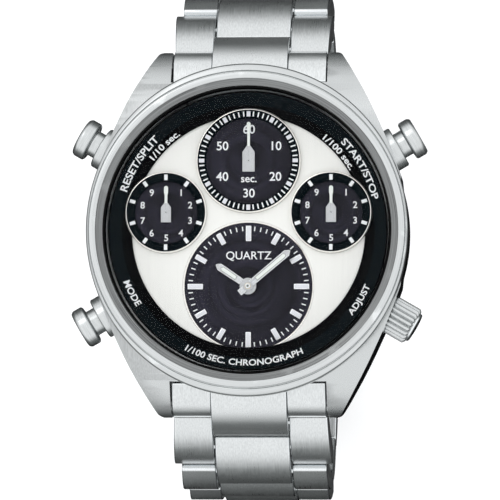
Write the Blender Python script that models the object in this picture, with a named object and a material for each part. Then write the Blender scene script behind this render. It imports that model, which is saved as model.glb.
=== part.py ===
"""A steel chronograph wristwatch on a link bracelet, standing on its closed clasp.

The dial faces +Z, 12 o'clock is +Y and 3 o'clock is +X. The origin lies under the centre of the
case, on the flat outer face of the clasp. Lengths below are in millimetres, and MM turns them into
metres. Heights inside the head are measured from the underside of the case back.
"""

import math

import bmesh
import bpy
from mathutils import Matrix, Vector

MM = 0.001

# ---- Case, bezel and crystal ----
CASE_RADIUS = 20.7
CASE_BOTTOM = 1.25
CASE_TOP = 9.25
LUG_TIP_Y = 23.8
LUG_SLOT_HALF = 10.15
LUG_SLOT_Y = 19.7
LUG_SHOULDER = (17.4, 13.7)
LUG_CORNER = (11.7, 23.1)
BEZEL_OUTER = 20.8
BEZEL_LENGTHWISE = 21.5
BEZEL_INNER = 18.62
BEZEL_TOP = 11.6
BEZEL_SEAT = 20.6
BEZEL_FLAT = (19.55, 20.45)
CRYSTAL_RADIUS = 18.35
CRYSTAL_BOTTOM = 9.65
CRYSTAL_TOP = 11.3
GASKET_WIDTH = 0.2
RUNNING_GAP = 0.05

# ---- Case back: a plate with a rim that stands in the back of the case ----
BACK_BORE = 17.3
BACK_SEAT_Z = 1.75
BACK_RADIUS = 17.6
BACK_FLAT_RADIUS = 15.2
BACK_RIM = (15.5, 16.4)
BACK_PLATE = 0.9
BACK_RIM_TOP = 2.2

# ---- Dial: the white plate, its four subdials and the black flange ring ----
DIAL_RADIUS = 16.2
SUBDIAL_FACE_Z = 7.15
DIAL_BOTTOM = 7.2
DIAL_TOP = 7.5
FLANGE_INNER = 15.1
FLANGE_FLAT = 16.4
FLANGE_OUTER = 18.1
RING_TOP = 8.1
SECONDS_AXIS = (0.0, 9.2)
TENTHS_AXIS = (-10.7, 2.5)
HUNDREDTHS_AXIS = (10.7, 2.5)
TIME_AXIS = (0.0, -7.1)
SECONDS_RING = (5.54, 6.8)
SMALL_RING = (4.06, 5.3)
TIME_OPENING = 8.5

# ---- Movement ----
CASE_BORE = 16.6
HOLDER_BORE = 15.2
HOLDER_LOW = 2.4
MAIN_PLATE_RADIUS = 15.0
MAIN_PLATE_Z = (4.6, 5.5)
BOARD_RADIUS = 14.6
BOARD_Z = (3.4, 3.8)
CELL_AXIS = (6.5, -6.0)
CELL_RADIUS = 4.75
CELL_Z = (2.5, 4.5)
COIL_GROUP = (2.0, 6.0)
COIL_X = (-7.4, -5.0, -2.6)
COIL_HALF = (0.9, 3.0)
COIL_Z = (3.85, 4.55)
CORE_HALF_WIDTH = 0.5
CORE_X = (-9.0, -1.0)
CORE_TOP = 4.1
MOTION_AXIS = (-3.6, -7.1)
ARBOR_RADIUS = 0.3
HANDS_Z = 7.75
HOUR_HAND_Z = 8.0
MINUTE_HAND_Z = 8.4
HAND_THICKNESS = 0.15
HOUR_HAND_ANGLE = 304.0
MINUTE_HAND_ANGLE = 49.8
HOUR_HAND_LENGTH = 5.05
MINUTE_HAND_LENGTH = 7.15

# ---- Crown and pushers: all stand on radial axes 30 degrees above or below 3 and 9 o'clock ----
SIDE_AXIS_Z = 5.6
PUSHER_ANGLES = {"start_stop": 30.0, "mode": 210.0, "reset": 150.0}
CROWN_ANGLE = -30.0
COLLAR_RADIUS = 2.75
COLLAR_REACH = (20.8, 22.4)
PUSHER_NECK_RADIUS = 1.725
PUSHER_HEAD_RADIUS = 2.625
PUSHER_HEAD_REACH = (23.6, 25.35)
PUSHER_NECK_LOW = 22.15
PUSHER_STEM = (16.1, 0.5)
TUBE_SHANK = (17.0, 1.5)
TUBE_GUIDE_BORE = 0.6
TUBE_SPRING_BORE = 1.2
SPRING_RADIUS = 0.85
SPRING_WIRE = 0.12
SPRING_TURNS = 4
WIRE_SIDES = 5
STEM_RADIUS = 0.45
CROWN_RADIUS = 2.475
CROWN_REACH = (21.6, 24.95)
CROWN_GRIP_END = 24.4
CROWN_FLUTES = 20
FLUTE_DEPTH = 0.18
STEM_LOW = 11.6
STEM_GROOVE = (12.95, 13.95)
STEM_GROOVE_RADIUS = 0.25
SETTING_WHEEL_REACH = (12.0, 12.7)
LEVER_REACH = 2.2
PULL = 1.2

# ---- Bracelet: six links a side, each turned a little more than the last ----
PITCH = 9.4
LINK_HALF_THICKNESS = 1.5
LINK_OVERHANG = 1.775
OUTER_LINK_END = PITCH - LINK_OVERHANG - 0.35
CENTRE_HALF_WIDTH = 4.9
ROW_GAP = 0.15
HALF_WIDTHS = (9.95, 9.5, 9.2, 8.9, 8.9, 8.9, 8.9)
FIRST_HINGE = (24.3, 1.2)
LINK_SLOPES = (50.0, 78.0, 90.0, 103.0, 126.0, 152.0)
PIN_RADIUS = 0.5
PIN_BORE = 0.62
PIN_REACH = 6.6
SPRING_BAR_AXIS = (21.8, 2.8)
SPRING_BAR_RADIUS = 0.72
SPRING_BAR_TIP_RADIUS = 0.4


def hinge_points():
    """Centres of the link hinges on the 12 o'clock side, from the end link to the clasp."""
    points = [Vector(FIRST_HINGE)]
    for slope in LINK_SLOPES:
        angle = math.radians(slope)
        points.append(points[-1] + PITCH * Vector((math.cos(angle), -math.sin(angle))))
    return points


HINGES = hinge_points()

# ---- Folding clasp: measured from its hinge on the last 6 o'clock link, +Z outwards ----
CLASP_LENGTH = 2 * HINGES[-1].x
INNER_BLADE_Z = (-1.9, -1.1)
MIDDLE_BLADE_Z = (-0.8, 0.0)
COVER_Z = (1.4, 2.4)
BLADE_HALF_WIDTH = 6.0
KNUCKLE_HALF = 2.4
BLADE_HINGE = (CLASP_LENGTH - 4.9, -0.95, 0.9)
COVER_HINGE = (3.9, 0.65, 0.62)
COVER_HALF_WIDTH = 9.4
COVER_WALL = 1.0
COVER_END = CLASP_LENGTH - 2.5
BUTTON_Y = 23.0
BUTTON_Z = -0.1
BUTTON_RADIUS = 1.0
BUTTON_FLANGE_RADIUS = 1.35
BUTTON_REACH = (7.6, 10.05)
EAR_X = (5.1, 6.9)
EAR_END = 3.2
HINGE_CLEARANCE = 1.3
COVER_EDGE_Z = -1.7
COVER_LIP = 3.3

HEAD_HEIGHT = COVER_Z[1] - HINGES[-1].y

BIG_SEGMENTS = 48
RING_SEGMENTS = 32
SMALL_SEGMENTS = 16
PHASE = 0.37


# ---- Materials ----

def material(name, colour, roughness, metallic, alpha=1.0):
    made = bpy.data.materials.new(name)
    made.use_nodes = True
    shader = made.node_tree.nodes["Principled BSDF"]
    shader.inputs["Base Color"].default_value = (*colour, 1.0)
    shader.inputs["Roughness"].default_value = roughness
    shader.inputs["Metallic"].default_value = metallic
    shader.inputs["Alpha"].default_value = alpha
    return made


FINISHES = {
    "satin_steel": ((0.62, 0.63, 0.63), 0.35, 1.0, 1.0),
    "polished_steel": ((0.72, 0.73, 0.74), 0.12, 1.0, 1.0),
    "white_dial": ((0.85, 0.85, 0.82), 0.5, 0.1, 1.0),
    "black_dial": ((0.02, 0.02, 0.028), 0.4, 0.1, 1.0),
    "black_gloss": ((0.01, 0.011, 0.013), 0.15, 0.0, 1.0),
    "hand_metal": ((0.8, 0.8, 0.8), 0.25, 1.0, 1.0),
    "mineral_glass": ((0.9, 0.95, 0.95), 0.02, 0.0, 0.15),
    "rubber_seal": ((0.015, 0.015, 0.015), 0.7, 0.0, 1.0),
    "movement_plastic": ((0.75, 0.74, 0.7), 0.5, 0.0, 1.0),
    "nickel_plate": ((0.66, 0.65, 0.6), 0.3, 1.0, 1.0),
    "board_green": ((0.03, 0.16, 0.09), 0.45, 0.0, 1.0),
    "copper_wire": ((0.72, 0.34, 0.18), 0.35, 1.0, 1.0),
    "brass": ((0.78, 0.58, 0.28), 0.3, 1.0, 1.0),
    "solar_film": ((0.03, 0.02, 0.06), 0.25, 0.2, 1.0),
}


# ---- Building blocks: each returns a mesh whose points are still in millimetres ----

def mesh_of(points, faces):
    mesh = bpy.data.meshes.new("shape")
    mesh.from_pydata([tuple(point) for point in points], [], faces)
    shape = bmesh.new()
    shape.from_mesh(mesh)
    bmesh.ops.remove_doubles(shape, verts=shape.verts, dist=1e-5)
    bmesh.ops.recalc_face_normals(shape, faces=shape.faces)
    shape.to_mesh(mesh)
    shape.free()
    return mesh


def moved(mesh, matrix):
    mesh.transform(matrix)
    return mesh


def turned(profile, segments):
    """A solid of revolution about Z from a closed outline of (radius, height) points."""
    points = []
    for step in range(segments):
        angle = 2 * math.pi * step / segments
        points += [(r * math.cos(angle), r * math.sin(angle), z) for r, z in profile]
    count = len(profile)
    faces = []
    for step in range(segments):
        after = (step + 1) % segments
        for index in range(count):
            follow = (index + 1) % count
            if profile[index][0] < 1e-6 and profile[follow][0] < 1e-6:
                continue
            corners = [(step, index), (after, index), (after, follow), (step, follow)]
            if profile[index][0] < 1e-6:
                corners.pop(1)
            if profile[follow][0] < 1e-6:
                corners.pop(2)
            faces.append([at * count + place for at, place in corners])
    return mesh_of(points, faces)


def circle(radius, segments):
    """Points round a circle, turned a little so that no two circles share a line through an axis."""
    angles = [2 * math.pi * (step + PHASE) / segments for step in range(segments)]
    return [(radius * math.cos(angle), radius * math.sin(angle)) for angle in angles]


def disc(radius, bottom, top, segments=SMALL_SEGMENTS):
    return prism(circle(radius, segments), bottom, top)


def ring(inner, outer, bottom, top, segments=RING_SEGMENTS):
    return turned([(inner, bottom), (outer, bottom), (outer, top), (inner, top)], segments)


def prism(outline, low, high):
    """An outline of (x, y) points, extruded from low to high along Z."""
    count = len(outline)
    points = [(x, y, low) for x, y in outline] + [(x, y, high) for x, y in outline]
    faces = [list(range(count)), list(range(count, 2 * count))]
    for index in range(count):
        follow = (index + 1) % count
        faces.append([index, follow, follow + count, index + count])
    return mesh_of(points, faces)


def bar(outline, low, high):
    """An outline of (y, z) points, extruded from low to high along X."""
    to_side = Matrix(((0, 0, 1, 0), (1, 0, 0, 0), (0, 1, 0, 0), (0, 0, 0, 1)))
    return moved(prism(outline, low, high), to_side)


def block(low, high):
    corners = [(low[0], low[1]), (high[0], low[1]), (high[0], high[1]), (low[0], high[1])]
    return prism(corners, low[2], high[2])


def arc(centre, radius, start, end, steps):
    """Points along an arc, with its angles in degrees."""
    angles = [math.radians(start + (end - start) * step / steps) for step in range(steps + 1)]
    return [(centre[0] + radius * math.cos(a), centre[1] + radius * math.sin(a)) for a in angles]


def rounded_box(low, high, radius, steps=2):
    """A rectangle with round corners, as an outline of (across, up) points."""
    corners = [
        ((high[0] - radius, high[1] - radius), 0),
        ((low[0] + radius, high[1] - radius), 90),
        ((low[0] + radius, low[1] + radius), 180),
        ((high[0] - radius, low[1] + radius), 270),
    ]
    outline = []
    for centre, start in corners:
        outline += arc(centre, radius, start, start + 90, steps)
    return outline


def across(mesh):
    """Turns a shape made along Z so that it lies along X."""
    return moved(mesh, Matrix.Rotation(math.pi / 2, 4, "Y"))


def outwards(mesh, angle):
    """Turns a shape made along Z so that it points out of the case at this clock angle."""
    tilt = Matrix.Rotation(math.radians(angle), 4, "Z") @ Matrix.Rotation(math.pi / 2, 4, "Y")
    return moved(mesh, tilt)


def at(mesh, x, y, z=0.0):
    return moved(mesh, Matrix.Translation((x, y, z)))


def combined(base, others, operation):
    """Adds the other meshes to the base, or cuts them out of it."""
    body = bpy.data.objects.new("body", base)
    bpy.context.scene.collection.objects.link(body)
    tools = []
    for other in others:
        tool = bpy.data.objects.new("tool", other)
        bpy.context.scene.collection.objects.link(tool)
        change = body.modifiers.new("change", "BOOLEAN")
        change.operation = operation
        change.solver = "EXACT"
        change.object = tool
        tools.append(tool)
    graph = bpy.context.evaluated_depsgraph_get()
    result = bpy.data.meshes.new_from_object(body.evaluated_get(graph))
    for helper in [body, *tools]:
        bpy.data.objects.remove(helper)
    return result


def fused(base, *others):
    return combined(base, others, "UNION")


def cut(base, *others):
    return combined(base, others, "DIFFERENCE")


def place(name, mesh, finish, matrix=None):
    """Makes the named part. The matrix places it in the head's frame, in millimetres."""
    part = bpy.data.objects.new(name, mesh)
    mesh.name = name
    mesh.transform(Matrix.Scale(MM, 4))
    mesh.materials.clear()
    mesh.materials.append(material(name, *FINISHES[finish]))
    mesh.shade_smooth()
    mesh.set_sharp_from_angle(angle=math.radians(35))
    bpy.context.scene.collection.objects.link(part)
    placed = Matrix.Translation((0, 0, HEAD_HEIGHT)) @ (matrix or Matrix.Identity(4))
    placed.translation *= MM
    part.matrix_world = placed
    return part


def spot(x, y, z=0.0):
    return Matrix.Translation((x, y, z))


# ---- Case ----

def side_pocket(angle, radius, reach):
    return at(outwards(disc(radius, reach, CASE_RADIUS + 6), angle), 0, 0, SIDE_AXIS_Z)


def side_bore(angle, radius):
    return at(outwards(disc(radius, CASE_BORE - 1.5, CASE_RADIUS + 3), angle), 0, 0, SIDE_AXIS_Z)


def case_plan():
    """Right upper quarter of the case from above, mirrored to the other three."""
    quarter = [(LUG_SLOT_HALF, LUG_SLOT_Y), (LUG_SLOT_HALF, LUG_TIP_Y - 0.25)]
    quarter += [(LUG_SLOT_HALF + 0.25, LUG_TIP_Y), (LUG_CORNER[0] - 0.7, LUG_TIP_Y), LUG_CORNER]
    quarter += [LUG_SHOULDER, (18.6, 10.4), (19.8, 7.1)]
    quarter += arc((0, 0), CASE_RADIUS, 14, 0, 3)
    right = quarter + [(x, -y) for x, y in reversed(quarter[:-1])]
    return right + [(-x, y) for x, y in reversed(right)]


def case_side():
    """Side view of the case and lugs as (y, z) points: the lugs curve down to their tips."""
    half = [(0, CASE_BOTTOM), (17.6, CASE_BOTTOM), (19.6, 0.7), (22.2, 0.2), (23.4, 0.5)]
    half += [(LUG_TIP_Y, 1.6), (LUG_TIP_Y, 3.2), (23.3, 4.6), (21.6, 6.4), (19.2, 8.0), (16.4, 9.0)]
    half += [(14.0, CASE_TOP)]
    return half + [(-y, z) for y, z in reversed(half[1:])]


def make_case():
    body = combined(
        prism(case_plan(), -1, CASE_TOP + 1),
        [bar(case_side(), -CASE_RADIUS - 4, CASE_RADIUS + 4)],
        "INTERSECT",
    )
    inside = [(0, -2), (BACK_BORE, -2), (BACK_BORE, BACK_SEAT_Z), (CASE_BORE, BACK_SEAT_Z)]
    inside += [(CASE_BORE, DIAL_TOP)]
    inside += [(FLANGE_OUTER + 0.15, DIAL_TOP), (FLANGE_OUTER + 0.15, CASE_TOP + 2), (0, CASE_TOP + 2)]
    cuts = [turned(inside, BIG_SEGMENTS)]
    for angle in PUSHER_ANGLES.values():
        cuts.append(side_pocket(angle, COLLAR_RADIUS + 0.1, COLLAR_REACH[0] - RUNNING_GAP))
        cuts.append(side_bore(angle, TUBE_SHANK[1] + RUNNING_GAP))
    cuts.append(side_pocket(CROWN_ANGLE, CROWN_RADIUS + 0.2, CROWN_REACH[0] - 0.15))
    cuts.append(side_bore(CROWN_ANGLE, STEM_RADIUS + 0.1))
    for side in (1, -1):
        hole = across(disc(SPRING_BAR_TIP_RADIUS + 0.1, -LUG_SLOT_HALF - 1.4, LUG_SLOT_HALF + 1.4, 12))
        cuts.append(at(hole, 0, side * SPRING_BAR_AXIS[0], SPRING_BAR_AXIS[1]))
    place("case_middle", cut(body, *cuts), "satin_steel")


def make_bezel_and_crystal():
    top = BEZEL_TOP
    flat_low, flat_high = BEZEL_FLAT
    profile = [(BEZEL_INNER, CASE_TOP + RUNNING_GAP), (BEZEL_SEAT, CASE_TOP + RUNNING_GAP)]
    profile += [(BEZEL_OUTER, CASE_TOP + 0.3), (BEZEL_OUTER, top - 0.85), (BEZEL_SEAT, top - 0.35)]
    profile += [(flat_high + 0.13, top - 0.1), (flat_high, top), (flat_low, top), (BEZEL_INNER, top - 0.6)]
    bezel = turned(profile, BIG_SEGMENTS)
    for vertex in bezel.vertices:
        if math.hypot(vertex.co.x, vertex.co.y) > flat_high + 0.1:
            vertex.co.y *= BEZEL_LENGTHWISE / BEZEL_OUTER
    place("bezel", bezel, "satin_steel")
    edge = 0.4
    glass = [(0, CRYSTAL_BOTTOM), (CRYSTAL_RADIUS, CRYSTAL_BOTTOM)]
    glass += [(CRYSTAL_RADIUS, CRYSTAL_TOP - edge), (CRYSTAL_RADIUS - edge, CRYSTAL_TOP)]
    glass += [(0, CRYSTAL_TOP)]
    place("crystal", turned(glass, BIG_SEGMENTS), "mineral_glass")
    inner = CRYSTAL_RADIUS + 0.02
    seal = ring(inner, inner + GASKET_WIDTH, CASE_TOP + RUNNING_GAP, CRYSTAL_TOP - 0.4, BIG_SEGMENTS)
    place("crystal_gasket", seal, "rubber_seal")


# ---- Dial ----

def make_dial():
    openings = [(SECONDS_AXIS, SECONDS_RING[1]), (TENTHS_AXIS, SMALL_RING[1])]
    openings += [(HUNDREDTHS_AXIS, SMALL_RING[1])]
    holes = []
    for (x, y), radius in [*openings, (TIME_AXIS, TIME_OPENING)]:
        holes.append(at(disc(radius + RUNNING_GAP, DIAL_BOTTOM - 1, DIAL_TOP + 1, RING_SEGMENTS), x, y))
    plate = disc(DIAL_RADIUS, DIAL_BOTTOM, DIAL_TOP, BIG_SEGMENTS)
    place("dial_plate", cut(plate, *holes), "white_dial")

    face = disc(DIAL_RADIUS, SUBDIAL_FACE_Z - 0.3, SUBDIAL_FACE_Z, RING_SEGMENTS)
    film = disc(DIAL_RADIUS - 0.2, SUBDIAL_FACE_Z - 0.55, SUBDIAL_FACE_Z - 0.35, RING_SEGMENTS)
    place("subdial_plate", cut(face, *arbor_holes()), "black_dial")
    place("solar_cell", cut(film, *arbor_holes()), "solar_film")

    rings = {"seconds_ring": (SECONDS_AXIS, SECONDS_RING), "tenths_ring": (TENTHS_AXIS, SMALL_RING)}
    rings["hundredths_ring"] = (HUNDREDTHS_AXIS, SMALL_RING)
    for name, ((x, y), (inner, outer)) in rings.items():
        profile = [(inner, DIAL_BOTTOM), (outer, DIAL_BOTTOM), (outer, RING_TOP - 0.25)]
        profile += [(outer - 0.25, RING_TOP), (inner + 0.3, RING_TOP), (inner, RING_TOP - 0.3)]
        place(name, turned(profile, RING_SEGMENTS), "black_gloss", spot(x, y))

    low = DIAL_TOP + RUNNING_GAP
    profile = [(FLANGE_INNER, low), (FLANGE_OUTER, low), (FLANGE_OUTER, CASE_TOP - 0.05)]
    profile += [(FLANGE_OUTER - 0.15, CASE_TOP - 0.05), (FLANGE_FLAT, RING_TOP)]
    profile += [(FLANGE_INNER + 0.15, RING_TOP - 0.1), (FLANGE_INNER, RING_TOP - 0.25)]
    notches = []
    for (x, y), radius in openings:
        notches.append(at(disc(radius + RUNNING_GAP, DIAL_BOTTOM, CASE_TOP, RING_SEGMENTS), x, y))
    place("dial_flange", cut(turned(profile, BIG_SEGMENTS), *notches), "black_gloss")


def arbor_holes():
    """Holes for the hands' arbors, through any thin plate of the dial or movement."""
    holes = [at(disc(1.0, 0, 10, 12), *TIME_AXIS)]
    for axis in (SECONDS_AXIS, TENTHS_AXIS, HUNDREDTHS_AXIS):
        holes.append(at(disc(ARBOR_RADIUS + 0.15, 0, 10, 12), *axis))
    return holes


# ---- Hands ----

def small_hand(tip, apex, shoulder, half_width, tail, needle):
    """A pentagon body that narrows to a needle, with its arbor through the dial."""
    bulb = needle * 1.5
    right = [(half_width, -tail), (half_width, shoulder), (needle, apex), (needle, tip - 3 * bulb)]
    right += [(bulb, tip - 2 * bulb), (bulb, tip - bulb), (0.4 * bulb, tip)]
    outline = right + [(-x, y) for x, y in reversed(right)]
    plate = prism(outline, 0, HAND_THICKNESS)
    return fused(plate, disc(ARBOR_RADIUS, MAIN_PLATE_Z[1] - 0.6 - HANDS_Z, 0.05, 12))


def time_hand(length, half_width, hub, bore, tail):
    """A tapering baton with a pointed tip and a bored hub; its length runs along +Y."""
    right = [(half_width * 0.7, -tail), (half_width * 0.7, 0), (half_width, length - 1.0)]
    outline = right + [(0, length)] + [(-x, y) for x, y in reversed(right)]
    plate = prism(outline, 0, HAND_THICKNESS)
    body = fused(plate, disc(hub, -0.05, HAND_THICKNESS + 0.05, 16))
    return cut(body, disc(bore, -1, 1, 16))


def clockwise(angle):
    return Matrix.Rotation(-math.radians(angle), 4, "Z")


def make_hands():
    place("seconds_hand", small_hand(5.04, 2.0, 1.14, 0.81, 1.43, 0.18), "hand_metal",
          spot(*SECONDS_AXIS, HANDS_Z))
    for name, axis in (("tenths_hand", TENTHS_AXIS), ("hundredths_hand", HUNDREDTHS_AXIS)):
        hand = small_hand(3.45, 1.28, 0.66, 0.67, 1.3, 0.18)
        place(name, hand, "hand_metal", spot(*axis, HANDS_Z))
    hour = time_hand(HOUR_HAND_LENGTH, 0.46, 1.1, 0.83, 0)
    place("hour_hand", hour, "hand_metal", spot(*TIME_AXIS, HOUR_HAND_Z) @ clockwise(HOUR_HAND_ANGLE))
    minute = time_hand(MINUTE_HAND_LENGTH, 0.42, 0.8, 0.42, 1.45)
    place("minute_hand", minute, "hand_metal",
          spot(*TIME_AXIS, MINUTE_HAND_Z) @ clockwise(MINUTE_HAND_ANGLE))


# ---- Movement ----

def gear(teeth, module, bottom, top, phase=0.0):
    """A spur wheel with straight-sided teeth and plenty of play."""
    pitch_radius = teeth * module / 2
    root, tip = pitch_radius - 1.15 * module, pitch_radius + 0.8 * module
    outline = []
    step = 2 * math.pi / teeth
    for tooth in range(teeth):
        middle = (tooth + phase) * step
        for offset, radius in ((-0.27, root), (-0.1, tip), (0.1, tip), (0.27, root)):
            angle = middle + offset * step
            outline.append((radius * math.cos(angle), radius * math.sin(angle)))
    return prism(outline, bottom, top)


def make_wheels():
    """Cannon pinion 8 to motion wheel 24, motion pinion 8 to hour wheel 32: twelve to one."""
    distance = TIME_AXIS[0] - MOTION_AXIS[0]
    first, second = distance / 16, distance / 20
    low = MAIN_PLATE_Z[1] + RUNNING_GAP
    arbor = disc(0.4, MAIN_PLATE_Z[0], MINUTE_HAND_Z + HAND_THICKNESS + 0.1, 12)
    pinion = fused(arbor, gear(8, first, low, low + 0.35))
    place("minute_pinion", pinion, "brass", spot(*TIME_AXIS))

    pipe = disc(0.8, low + 0.5, HOUR_HAND_Z + 0.1, 16)
    wheel = fused(pipe, gear(32, second, low + 0.5, low + 0.75))
    place("hour_wheel", cut(wheel, disc(0.5, 0, 10, 16)), "brass", spot(*TIME_AXIS))

    shaft = disc(ARBOR_RADIUS, MAIN_PLATE_Z[0], low + 0.85, 12)
    driven = gear(24, first, low + 0.02, low + 0.3, 0.5)
    driver = gear(8, second, low + 0.29, low + 0.8, 0.5)
    place("motion_wheel", fused(shaft, driven, driver), "brass", spot(*MOTION_AXIS))


def stem_slot(low, high):
    """The channel that the winding stem and its wheel lie in."""
    channel = block((11.2, -1.3, low), (CASE_BORE, 1.3, high))
    return moved(channel, Matrix.Rotation(math.radians(CROWN_ANGLE), 4, "Z"))


def make_movement():
    plate = disc(MAIN_PLATE_RADIUS, *MAIN_PLATE_Z, RING_SEGMENTS)
    bores = [at(disc(0.45, 0, 10, 12), *TIME_AXIS), at(disc(0.35, 0, 10, 12), *MOTION_AXIS)]
    for axis in (SECONDS_AXIS, TENTHS_AXIS, HUNDREDTHS_AXIS):
        bores.append(at(disc(ARBOR_RADIUS + 0.05, 0, 10, 12), *axis))
    bores.append(stem_slot(1, 9))
    place("main_plate", cut(plate, *bores), "nickel_plate")

    notches = [stem_slot(MAIN_PLATE_Z[0] - 0.1, 10)]
    for angle in PUSHER_ANGLES.values():
        notch = block((14, -1, MAIN_PLATE_Z[0] + 0.1), (CASE_BORE, 1, 10))
        notches.append(moved(notch, Matrix.Rotation(math.radians(angle), 4, "Z")))
    holder = ring(HOLDER_BORE, CASE_BORE - 0.2, HOLDER_LOW, SUBDIAL_FACE_Z - 0.6)
    place("movement_holder", cut(holder, *notches), "movement_plastic")

    board = disc(BOARD_RADIUS, *BOARD_Z, RING_SEGMENTS)
    opening = at(disc(CELL_RADIUS + 0.3, 0, 10, 24), *CELL_AXIS)
    place("circuit_board", cut(board, opening), "board_green")
    low, high = CELL_Z
    profile = [(0, low), (CELL_RADIUS - 0.5, low), (CELL_RADIUS, low + 0.3), (CELL_RADIUS, high), (0, high)]
    place("rechargeable_cell", turned(profile, 24), "polished_steel", spot(*CELL_AXIS))

    low, high = COIL_Z
    half_width, half_length = COIL_HALF
    core = block((CORE_X[0], -CORE_HALF_WIDTH, low), (CORE_X[1], CORE_HALF_WIDTH, CORE_TOP))
    coils = []
    for x in COIL_X:
        coils.append(block((x - half_width, -half_length, low), (x + half_width, half_length, high)))
    place("motor_coils", fused(core, *coils), "copper_wire", spot(*COIL_GROUP))


def make_case_back():
    inner, outer = BACK_RIM
    seat = CASE_BOTTOM - RUNNING_GAP
    profile = [(0, 0), (BACK_FLAT_RADIUS, 0), (BACK_RADIUS - 0.4, 0.5), (BACK_RADIUS, 0.8)]
    profile += [(BACK_RADIUS, seat), (outer, seat), (outer, BACK_RIM_TOP), (inner, BACK_RIM_TOP)]
    profile += [(inner, BACK_PLATE), (0, BACK_PLATE)]
    place("case_back", turned(profile, BIG_SEGMENTS), "polished_steel")
    seal = ring(outer + 0.1, BACK_BORE - 0.1, CASE_BOTTOM, BACK_SEAT_Z - RUNNING_GAP)
    place("case_back_gasket", seal, "rubber_seal")


# ---- Crown ----

def fluted(profile, flutes, depth):
    """A knob from (radius, height) points, with grooves along its widest part."""
    widest = max(radius for radius, _ in profile)
    count = 3 * flutes
    points = []
    for radius, height in profile:
        for spoke in range(count):
            angle = 2 * math.pi * spoke / count
            inset = depth if spoke % 3 == 0 and radius > widest - 0.3 else 0
            points.append(((radius - inset) * math.cos(angle), (radius - inset) * math.sin(angle), height))
    faces = [list(range(count)), list(range(count * (len(profile) - 1), count * len(profile)))]
    for level in range(len(profile) - 1):
        for spoke in range(count):
            follow = (spoke + 1) % count
            low, high = level * count, (level + 1) * count
            faces.append([low + spoke, low + follow, high + follow, high + spoke])
    return mesh_of(points, faces)


def make_crown():
    low, high = CROWN_REACH
    profile = [(CROWN_RADIUS - 0.25, low), (CROWN_RADIUS, low + 0.25), (CROWN_RADIUS, CROWN_GRIP_END)]
    profile += [(1.95, CROWN_GRIP_END + 0.35), (1.0, high)]
    body = fluted(profile, CROWN_FLUTES, FLUTE_DEPTH)
    socket = disc(STEM_RADIUS + 0.02, low - 1, low + 1.2, 12)
    axis = spot(0, 0, SIDE_AXIS_Z)
    place("crown", outwards(cut(body, socket), CROWN_ANGLE), "satin_steel", axis)

    start, end = STEM_GROOVE
    profile = [(0, STEM_LOW), (STEM_RADIUS, STEM_LOW), (STEM_RADIUS, start), (STEM_GROOVE_RADIUS, start)]
    profile += [(STEM_GROOVE_RADIUS, end), (STEM_RADIUS, end), (STEM_RADIUS, low + 1.1), (0, low + 1.1)]
    place("winding_stem", outwards(turned(profile, 12), CROWN_ANGLE), "polished_steel", axis)
    wheel = cut(gear(12, 0.12, *SETTING_WHEEL_REACH), disc(STEM_RADIUS + 0.02, 10, 15, 12))
    place("setting_wheel", outwards(wheel, CROWN_ANGLE), "brass", axis)

    # The lever's tip lies in the stem's groove and swings with it as the crown is pulled.
    reach = LEVER_REACH
    swing = PULL / 2 / reach
    tip = prism([(0.2, reach), (-0.2, reach), (-0.5, 0), (-0.3, -0.9), (0.3, -0.9), (0.5, 0)], 0, 0.25)
    lever = fused(tip, disc(0.5, -0.05, 0.3, 12))
    turn = Matrix.Rotation(math.radians(CROWN_ANGLE), 4, "Z")
    pivot = turn @ spot((start + end + PULL) / 2, -reach - 0.3, MAIN_PLATE_Z[1] + 0.1)
    place("setting_lever", lever, "polished_steel", pivot @ Matrix.Rotation(swing, 4, "Z"))


# ---- Pushers ----

def coil(radius, wire, low, high, turns):
    """A coil spring about Z, with a few flat sides round its wire."""
    sides = WIRE_SIDES
    steps = turns * 8
    points = []
    for step in range(steps + 1):
        angle = 2 * math.pi * step * turns / steps
        height = low + wire + (high - low - 2 * wire) * step / steps
        for spoke in range(sides):
            turn = 2 * math.pi * spoke / sides
            reach = radius + wire * math.cos(turn)
            points.append((reach * math.cos(angle), reach * math.sin(angle), height + wire * math.sin(turn)))
    faces = [list(range(sides)), list(range(sides * steps, sides * (steps + 1)))]
    for step in range(steps):
        for spoke in range(sides):
            follow = (spoke + 1) % sides
            corners = [(step, spoke), (step, follow), (step + 1, follow), (step + 1, spoke)]
            faces.append([sides * along + around for along, around in corners])
    return mesh_of(points, faces)


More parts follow.
